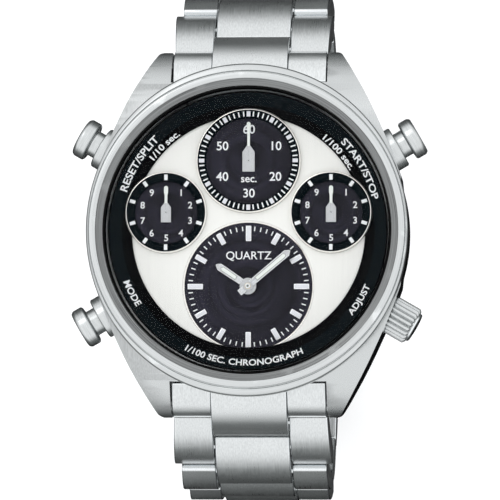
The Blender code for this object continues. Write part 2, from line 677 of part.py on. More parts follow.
def make_pushers():
    low, high = PUSHER_HEAD_REACH
    stem_end, stem_radius = PUSHER_STEM
    shank_low, shank_radius = TUBE_SHANK
    first, last = COLLAR_REACH
    guide = PUSHER_NECK_RADIUS + 0.06
    axis = spot(0, 0, SIDE_AXIS_Z)
    for name, angle in PUSHER_ANGLES.items():
        profile = [(0, stem_end), (stem_radius, stem_end), (stem_radius, PUSHER_NECK_LOW)]
        profile += [(PUSHER_NECK_RADIUS, PUSHER_NECK_LOW), (PUSHER_NECK_RADIUS, low)]
        profile += [(PUSHER_HEAD_RADIUS - 0.15, low), (PUSHER_HEAD_RADIUS, low + 0.15)]
        profile += [(PUSHER_HEAD_RADIUS, high - 0.25), (PUSHER_HEAD_RADIUS - 0.25, high), (0, high)]
        place(f"{name}_pusher", outwards(turned(profile, 20), angle), "satin_steel", axis)
        profile = [(TUBE_GUIDE_BORE, shank_low), (shank_radius, shank_low), (shank_radius, first)]
        profile += [(COLLAR_RADIUS, first), (COLLAR_RADIUS, last - 0.2), (COLLAR_RADIUS - 0.2, last)]
        profile += [(guide, last), (guide, first + 0.4), (TUBE_SPRING_BORE, first + 0.4)]
        profile += [(TUBE_SPRING_BORE, shank_low + 0.5), (TUBE_GUIDE_BORE, shank_low + 0.5)]
        place(f"{name}_pusher_tube", outwards(turned(profile, 20), angle), "satin_steel", axis)
        spring = coil(SPRING_RADIUS, SPRING_WIRE, shank_low + 0.55, PUSHER_NECK_LOW - 0.05, SPRING_TURNS)
        place(f"{name}_pusher_spring", outwards(spring, angle), "polished_steel", axis)


# ---- Bracelet ----

def side_matrix(side, point, slope):
    """Places a link's own frame: +Y along the bracelet away from the case, +Z outwards."""
    turn = Matrix.Identity(4) if side > 0 else Matrix.Rotation(math.pi, 4, "Z")
    return turn @ spot(0, *point) @ Matrix.Rotation(-math.radians(slope), 4, "X")


def tapered(mesh, near, far):
    """Draws a link's sides in, from one half width at its near end to another at its far end."""
    for vertex in mesh.vertices:
        if abs(vertex.co.x) > PIN_REACH + 0.5:
            share = (vertex.co.y + LINK_OVERHANG) / (OUTER_LINK_END + LINK_OVERHANG)
            vertex.co.x = math.copysign(near + (far - near) * share, vertex.co.x)
    return mesh


def make_link(name, index, matrix):
    """Two outer pieces on this hinge, pinned to a centre piece that reaches past the next one."""
    thick = LINK_HALF_THICKNESS
    near, far = HALF_WIDTHS[index - 1], HALF_WIDTHS[index]
    inner = CENTRE_HALF_WIDTH + ROW_GAP
    outer_shape = rounded_box((-LINK_OVERHANG, -thick), (OUTER_LINK_END, thick), 0.8, 1)
    centre_low = PITCH - OUTER_LINK_END
    centre_shape = rounded_box((centre_low, -thick), (PITCH + LINK_OVERHANG, thick), 0.8, 1)
    fixed_pin = at(across(disc(0.7, -inner - 0.5, inner + 0.5, 6)), 0, PITCH / 2)
    hinge_pin = at(across(disc(PIN_RADIUS, -PIN_REACH, PIN_REACH, 6)), 0, PITCH)
    centre = bar(centre_shape, -CENTRE_HALF_WIDTH, CENTRE_HALF_WIDTH)
    pieces = [bar(outer_shape, inner, near), bar(outer_shape, -near, -inner), fixed_pin, hinge_pin]
    bore = across(disc(PIN_BORE, -PIN_REACH - 0.3, PIN_REACH + 0.3, 6))
    link = cut(fused(centre, *pieces), bore)
    place(name, tapered(link, near, far), "satin_steel", matrix)


def make_end_link(name, side):
    """Fills the gap between the lugs; its nose carries the first hinge."""
    wall = LUG_SLOT_Y + 0.15
    lip = FIRST_HINGE[0] - 0.45
    back = FIRST_HINGE[0] - LINK_OVERHANG - 0.2
    body = bar([(wall, 1.4), (21.0, 0.9), (back, 0.9), (back, 3.25), (lip, 3.35), (lip, 3.9),
                (23.1, 4.75), (21.4, 6.2), (wall, 7.1)], -HALF_WIDTHS[0], HALF_WIDTHS[0])
    centre = FIRST_HINGE
    nose = arc(centre, LINK_OVERHANG, -110, 60, 8)
    nose = [(wall + 1.0, 1.6), (22.0, 0.2)] + nose + [(23.3, 4.9), (21.0, 6.7)]
    pin = at(across(disc(PIN_RADIUS, -PIN_REACH, PIN_REACH, 8)), 0, *centre)
    bore = at(across(disc(0.85, -LUG_SLOT_HALF, LUG_SLOT_HALF, 12)), 0, *SPRING_BAR_AXIS)
    mesh = cut(fused(body, bar(nose, -CENTRE_HALF_WIDTH, CENTRE_HALF_WIDTH), pin), bore)
    turn = Matrix.Identity(4) if side > 0 else Matrix.Rotation(math.pi, 4, "Z")
    place(name, mesh, "satin_steel", turn)


def make_spring_bar(name, side):
    tip, body = LUG_SLOT_HALF + 1.1, LUG_SLOT_HALF - 0.7
    thin, thick = SPRING_BAR_TIP_RADIUS, SPRING_BAR_RADIUS
    profile = [(0, -tip), (thin, -tip), (thin, -body), (thick, -body), (thick, body), (thin, body)]
    profile += [(thin, tip), (0, tip)]
    place(name, across(turned(profile, 12)), "polished_steel",
          spot(0, side * SPRING_BAR_AXIS[0], SPRING_BAR_AXIS[1]))


def make_bracelet():
    for side, hour in ((1, "12"), (-1, "6")):
        make_end_link(f"end_link_{hour}", side)
        make_spring_bar(f"spring_bar_{hour}", side)
        for index, slope in enumerate(LINK_SLOPES):
            name = f"link_{hour}_{index + 1}"
            make_link(name, index + 1, side_matrix(side, HINGES[index], slope))


# ---- Clasp ----

def knuckle(hinge, low, high):
    y, z, radius = hinge
    return at(across(disc(radius, low, high, 12)), 0, y, z)


def both_sides(shape, *args):
    """The same shape on both sides of the middle: shape(*args, low, high) along X."""
    outer = BLADE_HALF_WIDTH
    inner = KNUCKLE_HALF + 0.2
    return [shape(*args, inner, outer), shape(*args, -outer, -inner)]


def make_clasp():
    hinge_y, hinge_z, hinge_radius = BLADE_HINGE
    cover_y, cover_z, cover_radius = COVER_HINGE
    clear = HINGE_CLEARANCE
    frame = side_matrix(-1, HINGES[-1], 180)

    low, high = INNER_BLADE_Z
    start, end = EAR_X
    ear = rounded_box((-clear, low), (EAR_END, 1.2), 1.0)
    ears = [bar(ear, start, end), bar(ear, -end, -start)]
    plate = block((-end, EAR_END - 0.9, low), (end, hinge_y - clear, high))
    tab = block((-KNUCKLE_HALF, hinge_y - clear - 0.5, low), (KNUCKLE_HALF, hinge_y, high))
    blade = fused(plate, tab, knuckle(BLADE_HINGE, -KNUCKLE_HALF, KNUCKLE_HALF), *ears)
    bore = across(disc(PIN_BORE, -end - 0.6, end + 0.6, 8))
    place("clasp_inner_blade", cut(blade, bore), "satin_steel", frame)

    low, high = MIDDLE_BLADE_Z
    plate = block((-BLADE_HALF_WIDTH, cover_y + clear, low), (BLADE_HALF_WIDTH, hinge_y - clear, high))
    tab = block((-KNUCKLE_HALF, cover_y, low), (KNUCKLE_HALF, cover_y + clear + 0.5, high))
    arms = []
    for start, end in ((KNUCKLE_HALF + 0.2, BLADE_HALF_WIDTH), (-BLADE_HALF_WIDTH, -KNUCKLE_HALF - 0.2)):
        arms.append(block((start, hinge_y - clear - 0.5, low), (end, hinge_y, high)))
    neck = block((-KNUCKLE_HALF, cover_y - 0.3, high - 0.2), (KNUCKLE_HALF, cover_y + 0.3, cover_z))
    pieces = [tab, neck, *arms, knuckle(COVER_HINGE, -KNUCKLE_HALF, KNUCKLE_HALF)]
    pieces += both_sides(knuckle, BLADE_HINGE)
    turn = frame @ spot(0, hinge_y, hinge_z)
    place("clasp_middle_blade", at(fused(plate, *pieces), 0, -hinge_y, -hinge_z), "satin_steel", turn)

    low, high = COVER_Z
    edge, lip = COVER_EDGE_Z, COVER_END + COVER_LIP
    section = [(2.6, edge + 0.5), (2.6, 1.6), (4.2, high), (COVER_END - 2.0, high), (lip, 1.4)]
    section += [(lip, edge + 0.5), (lip - 0.7, edge), (3.2, edge)]
    shell = bar(section, -COVER_HALF_WIDTH, COVER_HALF_WIDTH)
    room = COVER_HALF_WIDTH - COVER_WALL
    hollow = block((-room, 0, -4), (room, COVER_END + 8, low))
    notch = block((-KNUCKLE_HALF - 0.3, 0, 0), (KNUCKLE_HALF + 0.3, cover_y + 1.6, 4))
    gate = block((-room, COVER_END, -4), (room, COVER_END + 8, 4))
    slot = at(across(disc(BUTTON_RADIUS + 0.1, -20, 20, 16)), 0, BUTTON_Y, BUTTON_Z)
    feet = both_sides(knuckle, COVER_HINGE)
    for start, end in ((KNUCKLE_HALF + 0.3, BLADE_HALF_WIDTH), (-BLADE_HALF_WIDTH, -KNUCKLE_HALF - 0.3)):
        feet.append(block((start, cover_y - 0.4, cover_z), (end, cover_y + 0.4, low + 0.2)))
    cover = fused(cut(shell, hollow, notch, gate, slot), *feet)
    turn = frame @ spot(0, cover_y, cover_z)
    place("clasp_cover", at(cover, 0, -cover_y, -cover_z), "satin_steel", turn)

    for name, direction in (("release_button_3", -1), ("release_button_9", 1)):
        low, high = BUTTON_REACH
        profile = [(0, low), (BUTTON_FLANGE_RADIUS, low), (BUTTON_FLANGE_RADIUS, low + 0.7)]
        profile += [(BUTTON_RADIUS, low + 0.7), (BUTTON_RADIUS, high - 0.2), (BUTTON_RADIUS - 0.2, high)]
        profile += [(0, high)]
        button = across(turned(profile, 16))
        turn = frame @ spot(0, BUTTON_Y, BUTTON_Z)
        if direction < 0:
            button = moved(button, Matrix.Rotation(math.pi, 4, "Z"))
        place(name, button, "polished_steel", turn)


def main():
    for old in list(bpy.data.objects):
        bpy.data.objects.remove(old)
    make_case()
    make_bezel_and_crystal()
    make_dial()
    make_hands()
    make_wheels()
    make_movement()
    make_case_back()
    make_crown()
    make_pushers()
    make_bracelet()
    make_clasp()


main()
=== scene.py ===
"""Looks of the chronograph wristwatch: every visible part as a finely bevelled piece.

Shapes are worked out in millimetres in the head's frame, whose origin is the centre of the case
back's outer face, with the dial facing +Z and 12 o'clock at +Y. Pieces are turned into metres when
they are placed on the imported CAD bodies.
"""

import math

import bmesh
import bpy
from mathutils import Matrix, Vector


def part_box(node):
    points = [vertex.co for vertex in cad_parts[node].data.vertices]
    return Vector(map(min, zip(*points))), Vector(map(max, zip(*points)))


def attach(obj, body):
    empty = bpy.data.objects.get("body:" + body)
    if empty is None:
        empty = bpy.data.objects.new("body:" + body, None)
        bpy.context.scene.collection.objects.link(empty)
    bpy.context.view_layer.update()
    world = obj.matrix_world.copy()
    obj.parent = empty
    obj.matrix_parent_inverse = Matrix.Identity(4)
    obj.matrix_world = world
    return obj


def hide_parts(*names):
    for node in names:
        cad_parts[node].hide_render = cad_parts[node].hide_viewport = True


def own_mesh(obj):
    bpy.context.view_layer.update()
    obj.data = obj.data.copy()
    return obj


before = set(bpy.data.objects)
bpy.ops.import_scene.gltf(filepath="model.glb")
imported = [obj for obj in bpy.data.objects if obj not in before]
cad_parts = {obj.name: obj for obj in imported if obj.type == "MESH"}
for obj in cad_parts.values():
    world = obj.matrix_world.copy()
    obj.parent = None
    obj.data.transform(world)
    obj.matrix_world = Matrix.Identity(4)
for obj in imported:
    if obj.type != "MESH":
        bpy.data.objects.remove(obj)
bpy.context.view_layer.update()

MM = 0.001
HEAD_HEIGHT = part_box("case_back")[0].z / MM

# ---- Case, bezel and crystal ----
CASE_RADIUS = 20.7
CASE_BORE = 18.25
BACK_RADIUS = 17.6
BACK_BORE = 17.3
MOVEMENT_BORE = 16.6
CASE_BOTTOM = 1.25
CASE_TOP = 9.25
LUG_SLOT_HALF = 10.15
LUG_SLOT_Y = 19.4
LUG_TIP_Y = 23.8
BEZEL_OUTER = 20.8
BEZEL_LENGTHWISE = 21.5
BEZEL_GROOVE = 20.42
BEZEL_SLOPE = 19.55
BEZEL_INNER = 18.62
BEZEL_TOP = 11.6
CRYSTAL_RADIUS = 18.35
CRYSTAL_LOW = 9.65
CRYSTAL_TOP = 11.3

# ---- Dial ----
FLANGE_INNER = 15.1
FLANGE_FLAT = 16.4
FLANGE_LIP = 17.95
FLANGE_OUTER = 18.1
FLANGE_LOW = 8.1
FLANGE_HIGH = 9.2
WORDS_RADIUS = 17.0
SMALL_WORDS_RADIUS = 15.72
WORDS_HEIGHT = 0.79
DIAL_RADIUS = 16.2
DIAL_LOW = 7.2
DIAL_TOP = 7.5
FACE_TOP = 7.15
RING_TOP = 8.1
SECONDS_AXIS = (0.0, 9.2)
TENTHS_AXIS = (-10.7, 2.5)
HUNDREDTHS_AXIS = (10.7, 2.5)
TIME_AXIS = (0.0, -7.1)
SECONDS_RING = (5.54, 6.8)
SMALL_RING = (4.06, 5.3)
RING_PLACES = ((SECONDS_AXIS, SECONDS_RING), (TENTHS_AXIS, SMALL_RING), (HUNDREDTHS_AXIS, SMALL_RING))
TIME_OPENING = 8.5
TIME_FACE = 8.26
RIM = 0.2
MARKER_END = 7.9
MARKER_FRAME = 0.14
TICKS_REACH = (7.24, 7.82)
PRINT = 0.03
CAPITAL_SHARE = 0.682

# ---- Hands ----
HANDS_Z = 7.75
HOUR_HAND_Z = 8.0
MINUTE_HAND_Z = 8.4
HAND_THICKNESS = 0.15
HOUR_HAND_ANGLE = 304.0
MINUTE_HAND_ANGLE = 49.8

# ---- Crown and pushers ----
SIDE_AXIS_Z = 5.6
PUSHER_ANGLES = {"start_stop": 30.0, "mode": 210.0, "reset": 150.0}
SPRING_REACH = (17.55, 22.1)
COLLAR_END = 22.4
COLLAR_BORE = 1.785
BUTTON_NECK = (1.725, 23.6)
BUTTON_HEAD = (2.625, 25.35)
CROWN_ANGLE = -30.0
CROWN_RADIUS = 2.475
CROWN_SKIRT = 21.0
CROWN_END = 24.95
CROWN_FLUTES = 20
FLUTE_DEPTH = 0.4
CROWN_CAP = (1.95, 24.4)

# ---- Bracelet and clasp ----
PITCH = 9.4
LINK_HALF_THICKNESS = 1.5
LINK_OVERHANG = 1.775
OUTER_LINK_END = PITCH - LINK_OVERHANG - 0.35
CENTRE_HALF_WIDTH = 4.9
ROW_GAP = 0.15
LINK_SHIFT = 0.6
LINK_CROWN = 1.05
LINK_END = 0.42
PIN_RADIUS = 0.45
HALF_WIDTHS = (9.95, 9.5, 9.2, 8.9, 8.9, 8.9, 8.9)
FIRST_HINGE = (24.3, 1.2)
LINK_SLOPES = (50.0, 78.0, 90.0, 103.0, 126.0, 152.0)
INNER_BLADE_Z = (-1.9, -1.1)
MIDDLE_BLADE_Z = (-0.8, 0.0)
BLADE_HALF_WIDTH = 6.0
KNUCKLE_HALF = 2.4
HINGE_CLEARANCE = 1.3
COVER_HINGE = (3.9, 0.65, 0.62)
COVER_Z = (1.4, 2.4)
COVER_HALF_WIDTH = 9.4
COVER_WALL = 1.0
COVER_EDGE_Z = -1.7
COVER_LIP = 3.3
EAR_X = (5.1, 6.9)
EAR_END = 3.2
BUTTON_Y = 23.0
BUTTON_Z = -0.1
BUTTON_RADIUS = 1.0
BUTTON_FLANGE_RADIUS = 1.35
BUTTON_REACH = (7.6, 10.05)

# ---- Camera: lengths in millimetres, angles in radians ----
VIEW_LEAN = (0.068, 0.081)
VIEW_ROLL = 0.0034
VIEW_DISTANCE = 710.0
VIEW_SHIFT = (-0.31, -1.78)
LENS = 391.0

FINE = 192
MEDIUM = 96
COARSE = 48


# ---- Shapes: each function returns a mesh in millimetres ----

def in_scene(name, data):
    """A new object in the scene."""
    obj = bpy.data.objects.new(name, data)
    bpy.context.scene.collection.objects.link(obj)
    return obj


def evaluated_mesh(obj):
    graph = bpy.context.evaluated_depsgraph_get()
    return bpy.data.meshes.new_from_object(obj.evaluated_get(graph))


def from_axis(point):
    return math.hypot(point.x, point.y)


def mesh_of(points, faces):
    mesh = bpy.data.meshes.new("shape")
    mesh.from_pydata([tuple(point) for point in points], [], faces)
    shape = bmesh.new()
    shape.from_mesh(mesh)
    bmesh.ops.remove_doubles(shape, verts=shape.verts, dist=1e-5)
    bmesh.ops.recalc_face_normals(shape, faces=shape.faces)
    shape.to_mesh(mesh)
    shape.free()
    return mesh


def moved(mesh, matrix):
    mesh.transform(matrix)
    return mesh


def spot(x, y, z=0.0):
    return Matrix.Translation((x, y, z))


def joined(*meshes):
    """Several meshes as one, each keeping its own material numbers."""
    whole = bmesh.new()
    for mesh in meshes:
        whole.from_mesh(mesh)
    made = bpy.data.meshes.new("shape")
    whole.to_mesh(made)
    whole.free()
    return made


def painted(mesh, number):
    """Gives every face of the mesh this material number."""
    for face in mesh.polygons:
        face.material_index = number
    return mesh


def filleted(outline, radius, steps=3):
    """The closed outline with each corner cut back by the radius and rounded."""
    result = []
    count = len(outline)
    for index, corner in enumerate(outline):
        corner = Vector(corner)
        before = Vector(outline[index - 1]) - corner
        after = Vector(outline[(index + 1) % count]) - corner
        reach = min(radius, 0.45 * before.length, 0.45 * after.length)
        if reach < 1e-4 or corner.x < 1e-6:
            result.append(tuple(corner))
            continue
        start = corner + before.normalized() * reach
        end = corner + after.normalized() * reach
        for step in range(steps + 1):
            share = step / steps
            low = start.lerp(corner, share)
            result.append(tuple(low.lerp(corner.lerp(end, share), share)))
    return result


def smooth(points, steps=4):
    """A smooth curve through the points of an open line."""
    padded = [points[0], *points, points[-1]]
    result = []
    for index in range(1, len(padded) - 2):
        before, start, end, after = (Vector(padded[index + shift]) for shift in (-1, 0, 1, 2))
        for step in range(steps):
            t = step / steps
            point = 2 * start + (end - before) * t
            point += (2 * before - 5 * start + 4 * end - after) * t * t
            point += (3 * start - before - 3 * end + after) * t ** 3
            result.append(tuple(point / 2))
    return [*result, tuple(points[-1])]


def lathe(profile, segments=MEDIUM):
    """A solid of revolution about Z from a closed outline of (radius, height) points."""
    points = []
    for step in range(segments):
        angle = 2 * math.pi * step / segments
        points += [(r * math.cos(angle), r * math.sin(angle), z) for r, z in profile]
    count = len(profile)
    faces = []
    for step in range(segments):
        after = (step + 1) % segments
        for index in range(count):
            follow = (index + 1) % count
            if profile[index][0] < 1e-6 and profile[follow][0] < 1e-6:
                continue
            corners = [(step, index), (after, index), (after, follow), (step, follow)]
            if profile[index][0] < 1e-6:
                corners.pop(1)
            if profile[follow][0] < 1e-6:
                corners.pop(2)
            faces.append([turn * count + level for turn, level in corners])
    return mesh_of(points, faces)


def turned(profile, fillet, segments=FINE, steps=3):
    """A solid of revolution whose outline has rounded corners."""
    return lathe(filleted(profile, fillet, steps), segments)


def cap(radius, low, high, fillet=0.05, segments=COARSE):
    """A round bar about Z with rounded rims."""
    return turned([(0, low), (radius, low), (radius, high), (0, high)], fillet, segments)


def arc(centre, radius, start, end, steps):
    angles = [math.radians(start + (end - start) * step / steps) for step in range(steps + 1)]
    return [(centre[0] + radius * math.cos(a), centre[1] + radius * math.sin(a)) for a in angles]


def circle(radius, segments):
    return arc((0, 0), radius, 0, 360 * (segments - 1) / segments, segments - 1)


def prism(outline, low, high):
    """An outline of (x, y) points, extruded from low to high along Z."""
    count = len(outline)
    points = [(x, y, low) for x, y in outline] + [(x, y, high) for x, y in outline]
    faces = [list(range(count)), list(range(count, 2 * count))]
    for index in range(count):
        follow = (index + 1) % count
        faces.append([index, follow, follow + count, index + count])
    return mesh_of(points, faces)


def bar(outline, low, high):
    """An outline of (y, z) points, extruded from low to high along X."""
    to_side = Matrix(((0, 0, 1, 0), (1, 0, 0, 0), (0, 1, 0, 0), (0, 0, 0, 1)))
    return moved(prism(outline, low, high), to_side)


def block(low, high):
    corners = [(low[0], low[1]), (high[0], low[1]), (high[0], high[1]), (low[0], high[1])]
    return prism(corners, low[2], high[2])


def bevelled(mesh, width, angle=35.0, steps=3, number=-1):
    """Rounds the edges sharper than the angle; the new faces can take their own material."""
    shape = bmesh.new()
    shape.from_mesh(mesh)
    limit = math.radians(angle)
    edges = [e for e in shape.edges if len(e.link_faces) == 2 and e.calc_face_angle(0) > limit]
    bmesh.ops.bevel(shape, geom=edges, offset=width, offset_type="OFFSET", segments=steps,
                    profile=0.5, affect="EDGES", clamp_overlap=True, material=number)
    shape.to_mesh(mesh)
    shape.free()
    return mesh


def combined(base, others, operation):
    """Adds the other meshes to the base, cuts them out of it, or keeps what they share."""
    body = in_scene("body", base)
    tools = []
    for other in others:
        tool = in_scene("tool", other)
        change = body.modifiers.new("change", "BOOLEAN")
        change.operation = operation
        change.solver = "EXACT"
        change.object = tool
        tools.append(tool)
    result = evaluated_mesh(body)
    for helper in [body, *tools]:
        bpy.data.objects.remove(helper)
    return result


def across(mesh):
    """Turns a shape made along Z so that it lies along X."""
    return moved(mesh, Matrix.Rotation(math.pi / 2, 4, "Y"))


def side_axis(angle):
    """Stands a shape made along Z on one of the case's radial axes."""
    tilt = Matrix.Rotation(math.radians(angle), 4, "Z") @ Matrix.Rotation(math.pi / 2, 4, "Y")
    return spot(0, 0, SIDE_AXIS_Z) @ tilt


def clockwise(angle):
    return Matrix.Rotation(-math.radians(angle), 4, "Z")


def lettering(text, height, weight=0.0, stretch=1.0):
    """Flat raised words, centred, whose capitals have this height; stretch widens them."""
    curve = bpy.data.curves.new("words", "FONT")
    curve.body = text
    curve.size = height / CAPITAL_SHARE
    curve.align_x = "CENTER"
    curve.extrude = PRINT / 2
    curve.offset = weight
    curve.resolution_u = 4
    words = in_scene("words", curve)
    mesh = evaluated_mesh(words)
    bpy.data.objects.remove(words)
    mesh.materials.clear()
    mesh.transform(Matrix.Diagonal((stretch, 1, 1, 1)))
    return moved(mesh, spot(0, -height / 2, PRINT / 2))


# ---- Materials: every length in a pattern is in metres ----

FINISH = {}


def new_material(name):
    made = bpy.data.materials.new(name)
    made.use_nodes = True
    FINISH[name] = made
    return made, made.node_tree, made.node_tree.nodes["Principled BSDF"]


def node(tree, kind, inputs, **settings):
    made = tree.nodes.new("ShaderNode" + kind)
    for key, value in settings.items():
        setattr(made, key, value)
    for key, value in inputs.items():
        if isinstance(value, bpy.types.NodeSocket):
            tree.links.new(value, made.inputs[key])
        else:
            made.inputs[key].default_value = value
    return made


def object_place(tree):
    return node(tree, "TexCoord", {}).outputs["Object"]


def calculated(tree, operation, first, second=0.0):
    return node(tree, "Math", {0: first, 1: second}, operation=operation).outputs["Value"]


def grain_place(tree, direction, length, width):
    """Texture coordinates stretched along a brushing direction: x, y, z, round or rays."""
    place = object_place(tree)
    if direction in ("x", "y", "z"):
        scale = [1 / width] * 3
        scale["xyz".index(direction)] = 1 / length
        return node(tree, "Mapping", {"Vector": place, "Scale": scale}).outputs["Vector"]
    parts = node(tree, "SeparateXYZ", {"Vector": place})
    flat = node(tree, "CombineXYZ", {"X": parts.outputs["X"], "Y": parts.outputs["Y"]}).outputs["Vector"]
    radius = node(tree, "VectorMath", {0: flat}, operation="LENGTH").outputs["Value"]
    heading = node(tree, "VectorMath", {0: flat}, operation="NORMALIZE").outputs["Vector"]
    wide, fine = (1 / width, 1 / length) if direction == "round" else (1 / length, 1 / width)
    turn = node(tree, "VectorMath", {0: heading, "Scale": fine * 0.01}, operation="SCALE").outputs["Vector"]
    along = node(tree, "SeparateXYZ", {"Vector": turn})
    depth = calculated(tree, "ADD", radius, parts.outputs["Z"])
    level = calculated(tree, "MULTIPLY", depth, wide)
    inputs = {"X": along.outputs["X"], "Y": along.outputs["Y"], "Z": level}
    return node(tree, "CombineXYZ", inputs).outputs["Vector"]


def noise(tree, place, scale=1.0, detail=3.0):
    inputs = {"Vector": place, "Scale": scale, "Detail": detail}
    return node(tree, "TexNoise", inputs).outputs["Fac"]


def ranged(tree, value, low, high, start=0.3, end=0.7):
    inputs = {"Value": value, "From Min": start, "From Max": end, "To Min": low, "To Max": high}
    return node(tree, "MapRange", inputs).outputs["Result"]


def blended(tree, share, first, second):
    made = node(tree, "Mix", {0: share}, data_type="RGBA")
    for index, colour in ((6, first), (7, second)):
        if isinstance(colour, bpy.types.NodeSocket):
            tree.links.new(colour, made.inputs[index])
        else:
            made.inputs[index].default_value = (*colour, 1.0)
    return made.outputs[2]


def shaded(colour, factor):
    return tuple(min(1.0, value * factor) for value in colour)


def mottled(tree, share, colour, contrast):
    return blended(tree, share, shaded(colour, 1 - contrast), shaded(colour, 1 + contrast))


def finish(tree, shader, colour, rough, height=None, depth=0.0, strength=1.0):
    """Links a pattern to the shader's colour, roughness and surface height."""
    tree.links.new(colour, shader.inputs["Base Color"])
    tree.links.new(rough, shader.inputs["Roughness"])
    if height is not None:
        bump = node(tree, "Bump", {"Height": height, "Strength": strength, "Distance": depth})
        tree.links.new(bump.outputs["Normal"], shader.inputs["Normal"])


def brushed_metal(name, colour, roughness, direction, length=0.006, width=0.00012, depth=4e-6,
                  contrast=0.08, anisotropic=0.0):
    """Metal with fine brushing, uneven polish, and a lighter colour and lower roughness along sharp edges."""
    made, tree, shader = new_material(name)
    grain = noise(tree, grain_place(tree, direction, length, width))
    cloud = noise(tree, object_place(tree), 180.0)
    edge_sharpness = node(tree, "NewGeometry", {}).outputs["Pointiness"]
    edge = ranged(tree, edge_sharpness, 0.0, 1.0, 0.54, 0.62)
    tone = mottled(tree, ranged(tree, grain, 0.0, 1.0), colour, contrast)
    tone = blended(tree, edge, tone, shaded(colour, 1.25))
    rough = calculated(tree, "ADD", ranged(tree, grain, -0.04, 0.04), ranged(tree, cloud, -0.03, 0.03))
    rough = calculated(tree, "ADD", rough, ranged(tree, edge, roughness, roughness * 0.8, 0.0, 1.0))
    finish(tree, shader, tone, rough, grain, depth)
    shader.inputs["Metallic"].default_value = 1.0
    shader.inputs["Anisotropic"].default_value = anisotropic
    return made


def polished_metal(name, colour, roughness=0.12):
    """Bright metal with faint hairline scratches and smudges."""
    made, tree, shader = new_material(name)
    cloud = noise(tree, object_place(tree), 400.0, 4.0)
    hair = noise(tree, grain_place(tree, "x", 0.004, 0.00004))
    scratched = ranged(tree, hair, roughness, roughness + 0.03)
    rough = calculated(tree, "ADD", ranged(tree, cloud, -0.02, 0.03), scratched)
    finish(tree, shader, mottled(tree, cloud, colour, 0.05), rough, hair, 6e-7, 0.6)
    shader.inputs["Metallic"].default_value = 1.0
    return made


def grooved_lacquer(name, colour, roughness, pitch):
    """Dark lacquer over fine concentric grooves."""
    made, tree, shader = new_material(name)
    rings = noise(tree, grain_place(tree, "round", 0.02, pitch), 1.0, 2.0)
    wide = noise(tree, grain_place(tree, "round", 0.02, pitch * 6), 1.0, 2.0)
    height = calculated(tree, "ADD", rings, calculated(tree, "MULTIPLY", wide, 2.0))
    tone = ranged(tree, calculated(tree, "MULTIPLY", rings, wide), 0.0, 1.0, 0.1, 0.45)
    tone = blended(tree, tone, shaded(colour, 0.4), shaded(colour, 2.2))
    finish(tree, shader, tone, ranged(tree, rings, roughness - 0.05, roughness + 0.08), height, 1.2e-5)
    shader.inputs["Specular IOR Level"].default_value = 0.12
    return made


def coating(name, colour, roughness, texture=2e-6, size=0.0003, variety=0.08, coat=0.0, gloss=0.5):
    """Paint, plastic or rubber: a faint mottled tone over a fine surface texture."""
    made, tree, shader = new_material(name)
    place = object_place(tree)
    fine = noise(tree, place, 1 / size, 4.0)
    broad = noise(tree, place, 120.0)
    rough = ranged(tree, fine, max(0.02, roughness - 0.05), roughness + 0.05)
    finish(tree, shader, mottled(tree, broad, colour, variety), rough, fine, texture)
    shader.inputs["Specular IOR Level"].default_value = gloss
    shader.inputs["Coat Weight"].default_value = coat
    return made


def brushed_paint(name, colour, roughness, contrast):
    """A painted dial with fine vertical brushing under the paint."""
    made, tree, shader = new_material(name)
    grain = noise(tree, grain_place(tree, "y", 0.008, 0.00011))
    tone = blended(tree, ranged(tree, grain, 0.0, 1.0), shaded(colour, 1 - contrast), colour)
    finish(tree, shader, tone, ranged(tree, grain, roughness, roughness + 0.12), grain, 3e-6)
    return made


def clear_glass(name):
    """Coated mineral glass: nearly invisible, with a faint mark of handling."""
    made, tree, shader = new_material(name)
    smudge = noise(tree, object_place(tree), 90.0, 5.0)
    tone = blended(tree, smudge, (0.01, 0.012, 0.015), (0.02, 0.022, 0.025))
    finish(tree, shader, tone, ranged(tree, smudge, 0.01, 0.06))
    shader.inputs["Alpha"].default_value = 0.04
    shader.inputs["IOR"].default_value = 1.5
    return made


STEEL = (0.56, 0.575, 0.575)
BRIGHT = (0.74, 0.76, 0.77)
# The case, link and bezel slope finishes are lit and shaded copies of the one steel: the case is painted
# darker (0.76) and the links lighter (1.12) as painted shade and painted light, and the bezel slope much
# darker (0.33) as painted shade.
brushed_metal("case_satin", shaded(STEEL, 0.76), 0.36, "y", depth=5e-6, contrast=0.15)
brushed_metal("bezel_satin", STEEL, 0.3, "round", anisotropic=0.3)
brushed_metal("bezel_slope", shaded(STEEL, 0.33), 0.3, "round", contrast=0.4, depth=1.2e-5)
brushed_metal("link_satin", shaded(STEEL, 1.12), 0.32, "y", depth=4e-6, contrast=0.12)
brushed_metal("turned_steel", STEEL, 0.25, "round", depth=2e-6)
brushed_metal("hand_satin", (0.5, 0.51, 0.52), 0.32, "y", length=0.003, width=0.00006)
polished_metal("polish", BRIGHT)
polished_metal("rim", (0.9, 0.88, 0.84), 0.16)
polished_metal("marker_metal", (0.9, 0.91, 0.93), 0.25)
brushed_paint("white_dial", (0.9, 0.9, 0.862), 0.45, 0.05)
grooved_lacquer("dark_dial", (0.0115, 0.0108, 0.018), 0.42, 0.0003)
coating("gloss_black", (0.0004, 0.003, 0.0043), 0.2, texture=1e-7, gloss=0.03)
coating("matt_black", (0.0003, 0.0003, 0.0004), 0.5, texture=1e-7, gloss=0.01)
coating("ink", (0.86, 0.88, 0.89), 0.5, variety=0.03)
coating("lume", (0.8, 0.84, 0.8), 0.7, texture=6e-6, size=0.0001, variety=0.04)
coating("marker_fill", (0.74, 0.75, 0.79), 0.5, texture=6e-6, size=0.0001, variety=0.05)
clear_glass("glass")
coating("rubber", (0.003, 0.003, 0.003), 0.7, texture=8e-6, gloss=0.1)
coating("plastic", (0.62, 0.6, 0.55), 0.5, texture=5e-6)
brushed_metal("nickel", (0.6, 0.58, 0.53), 0.28, "rays", length=0.01, width=0.0003)
coating("board", (0.02, 0.12, 0.06), 0.4, texture=5e-6, coat=0.3)
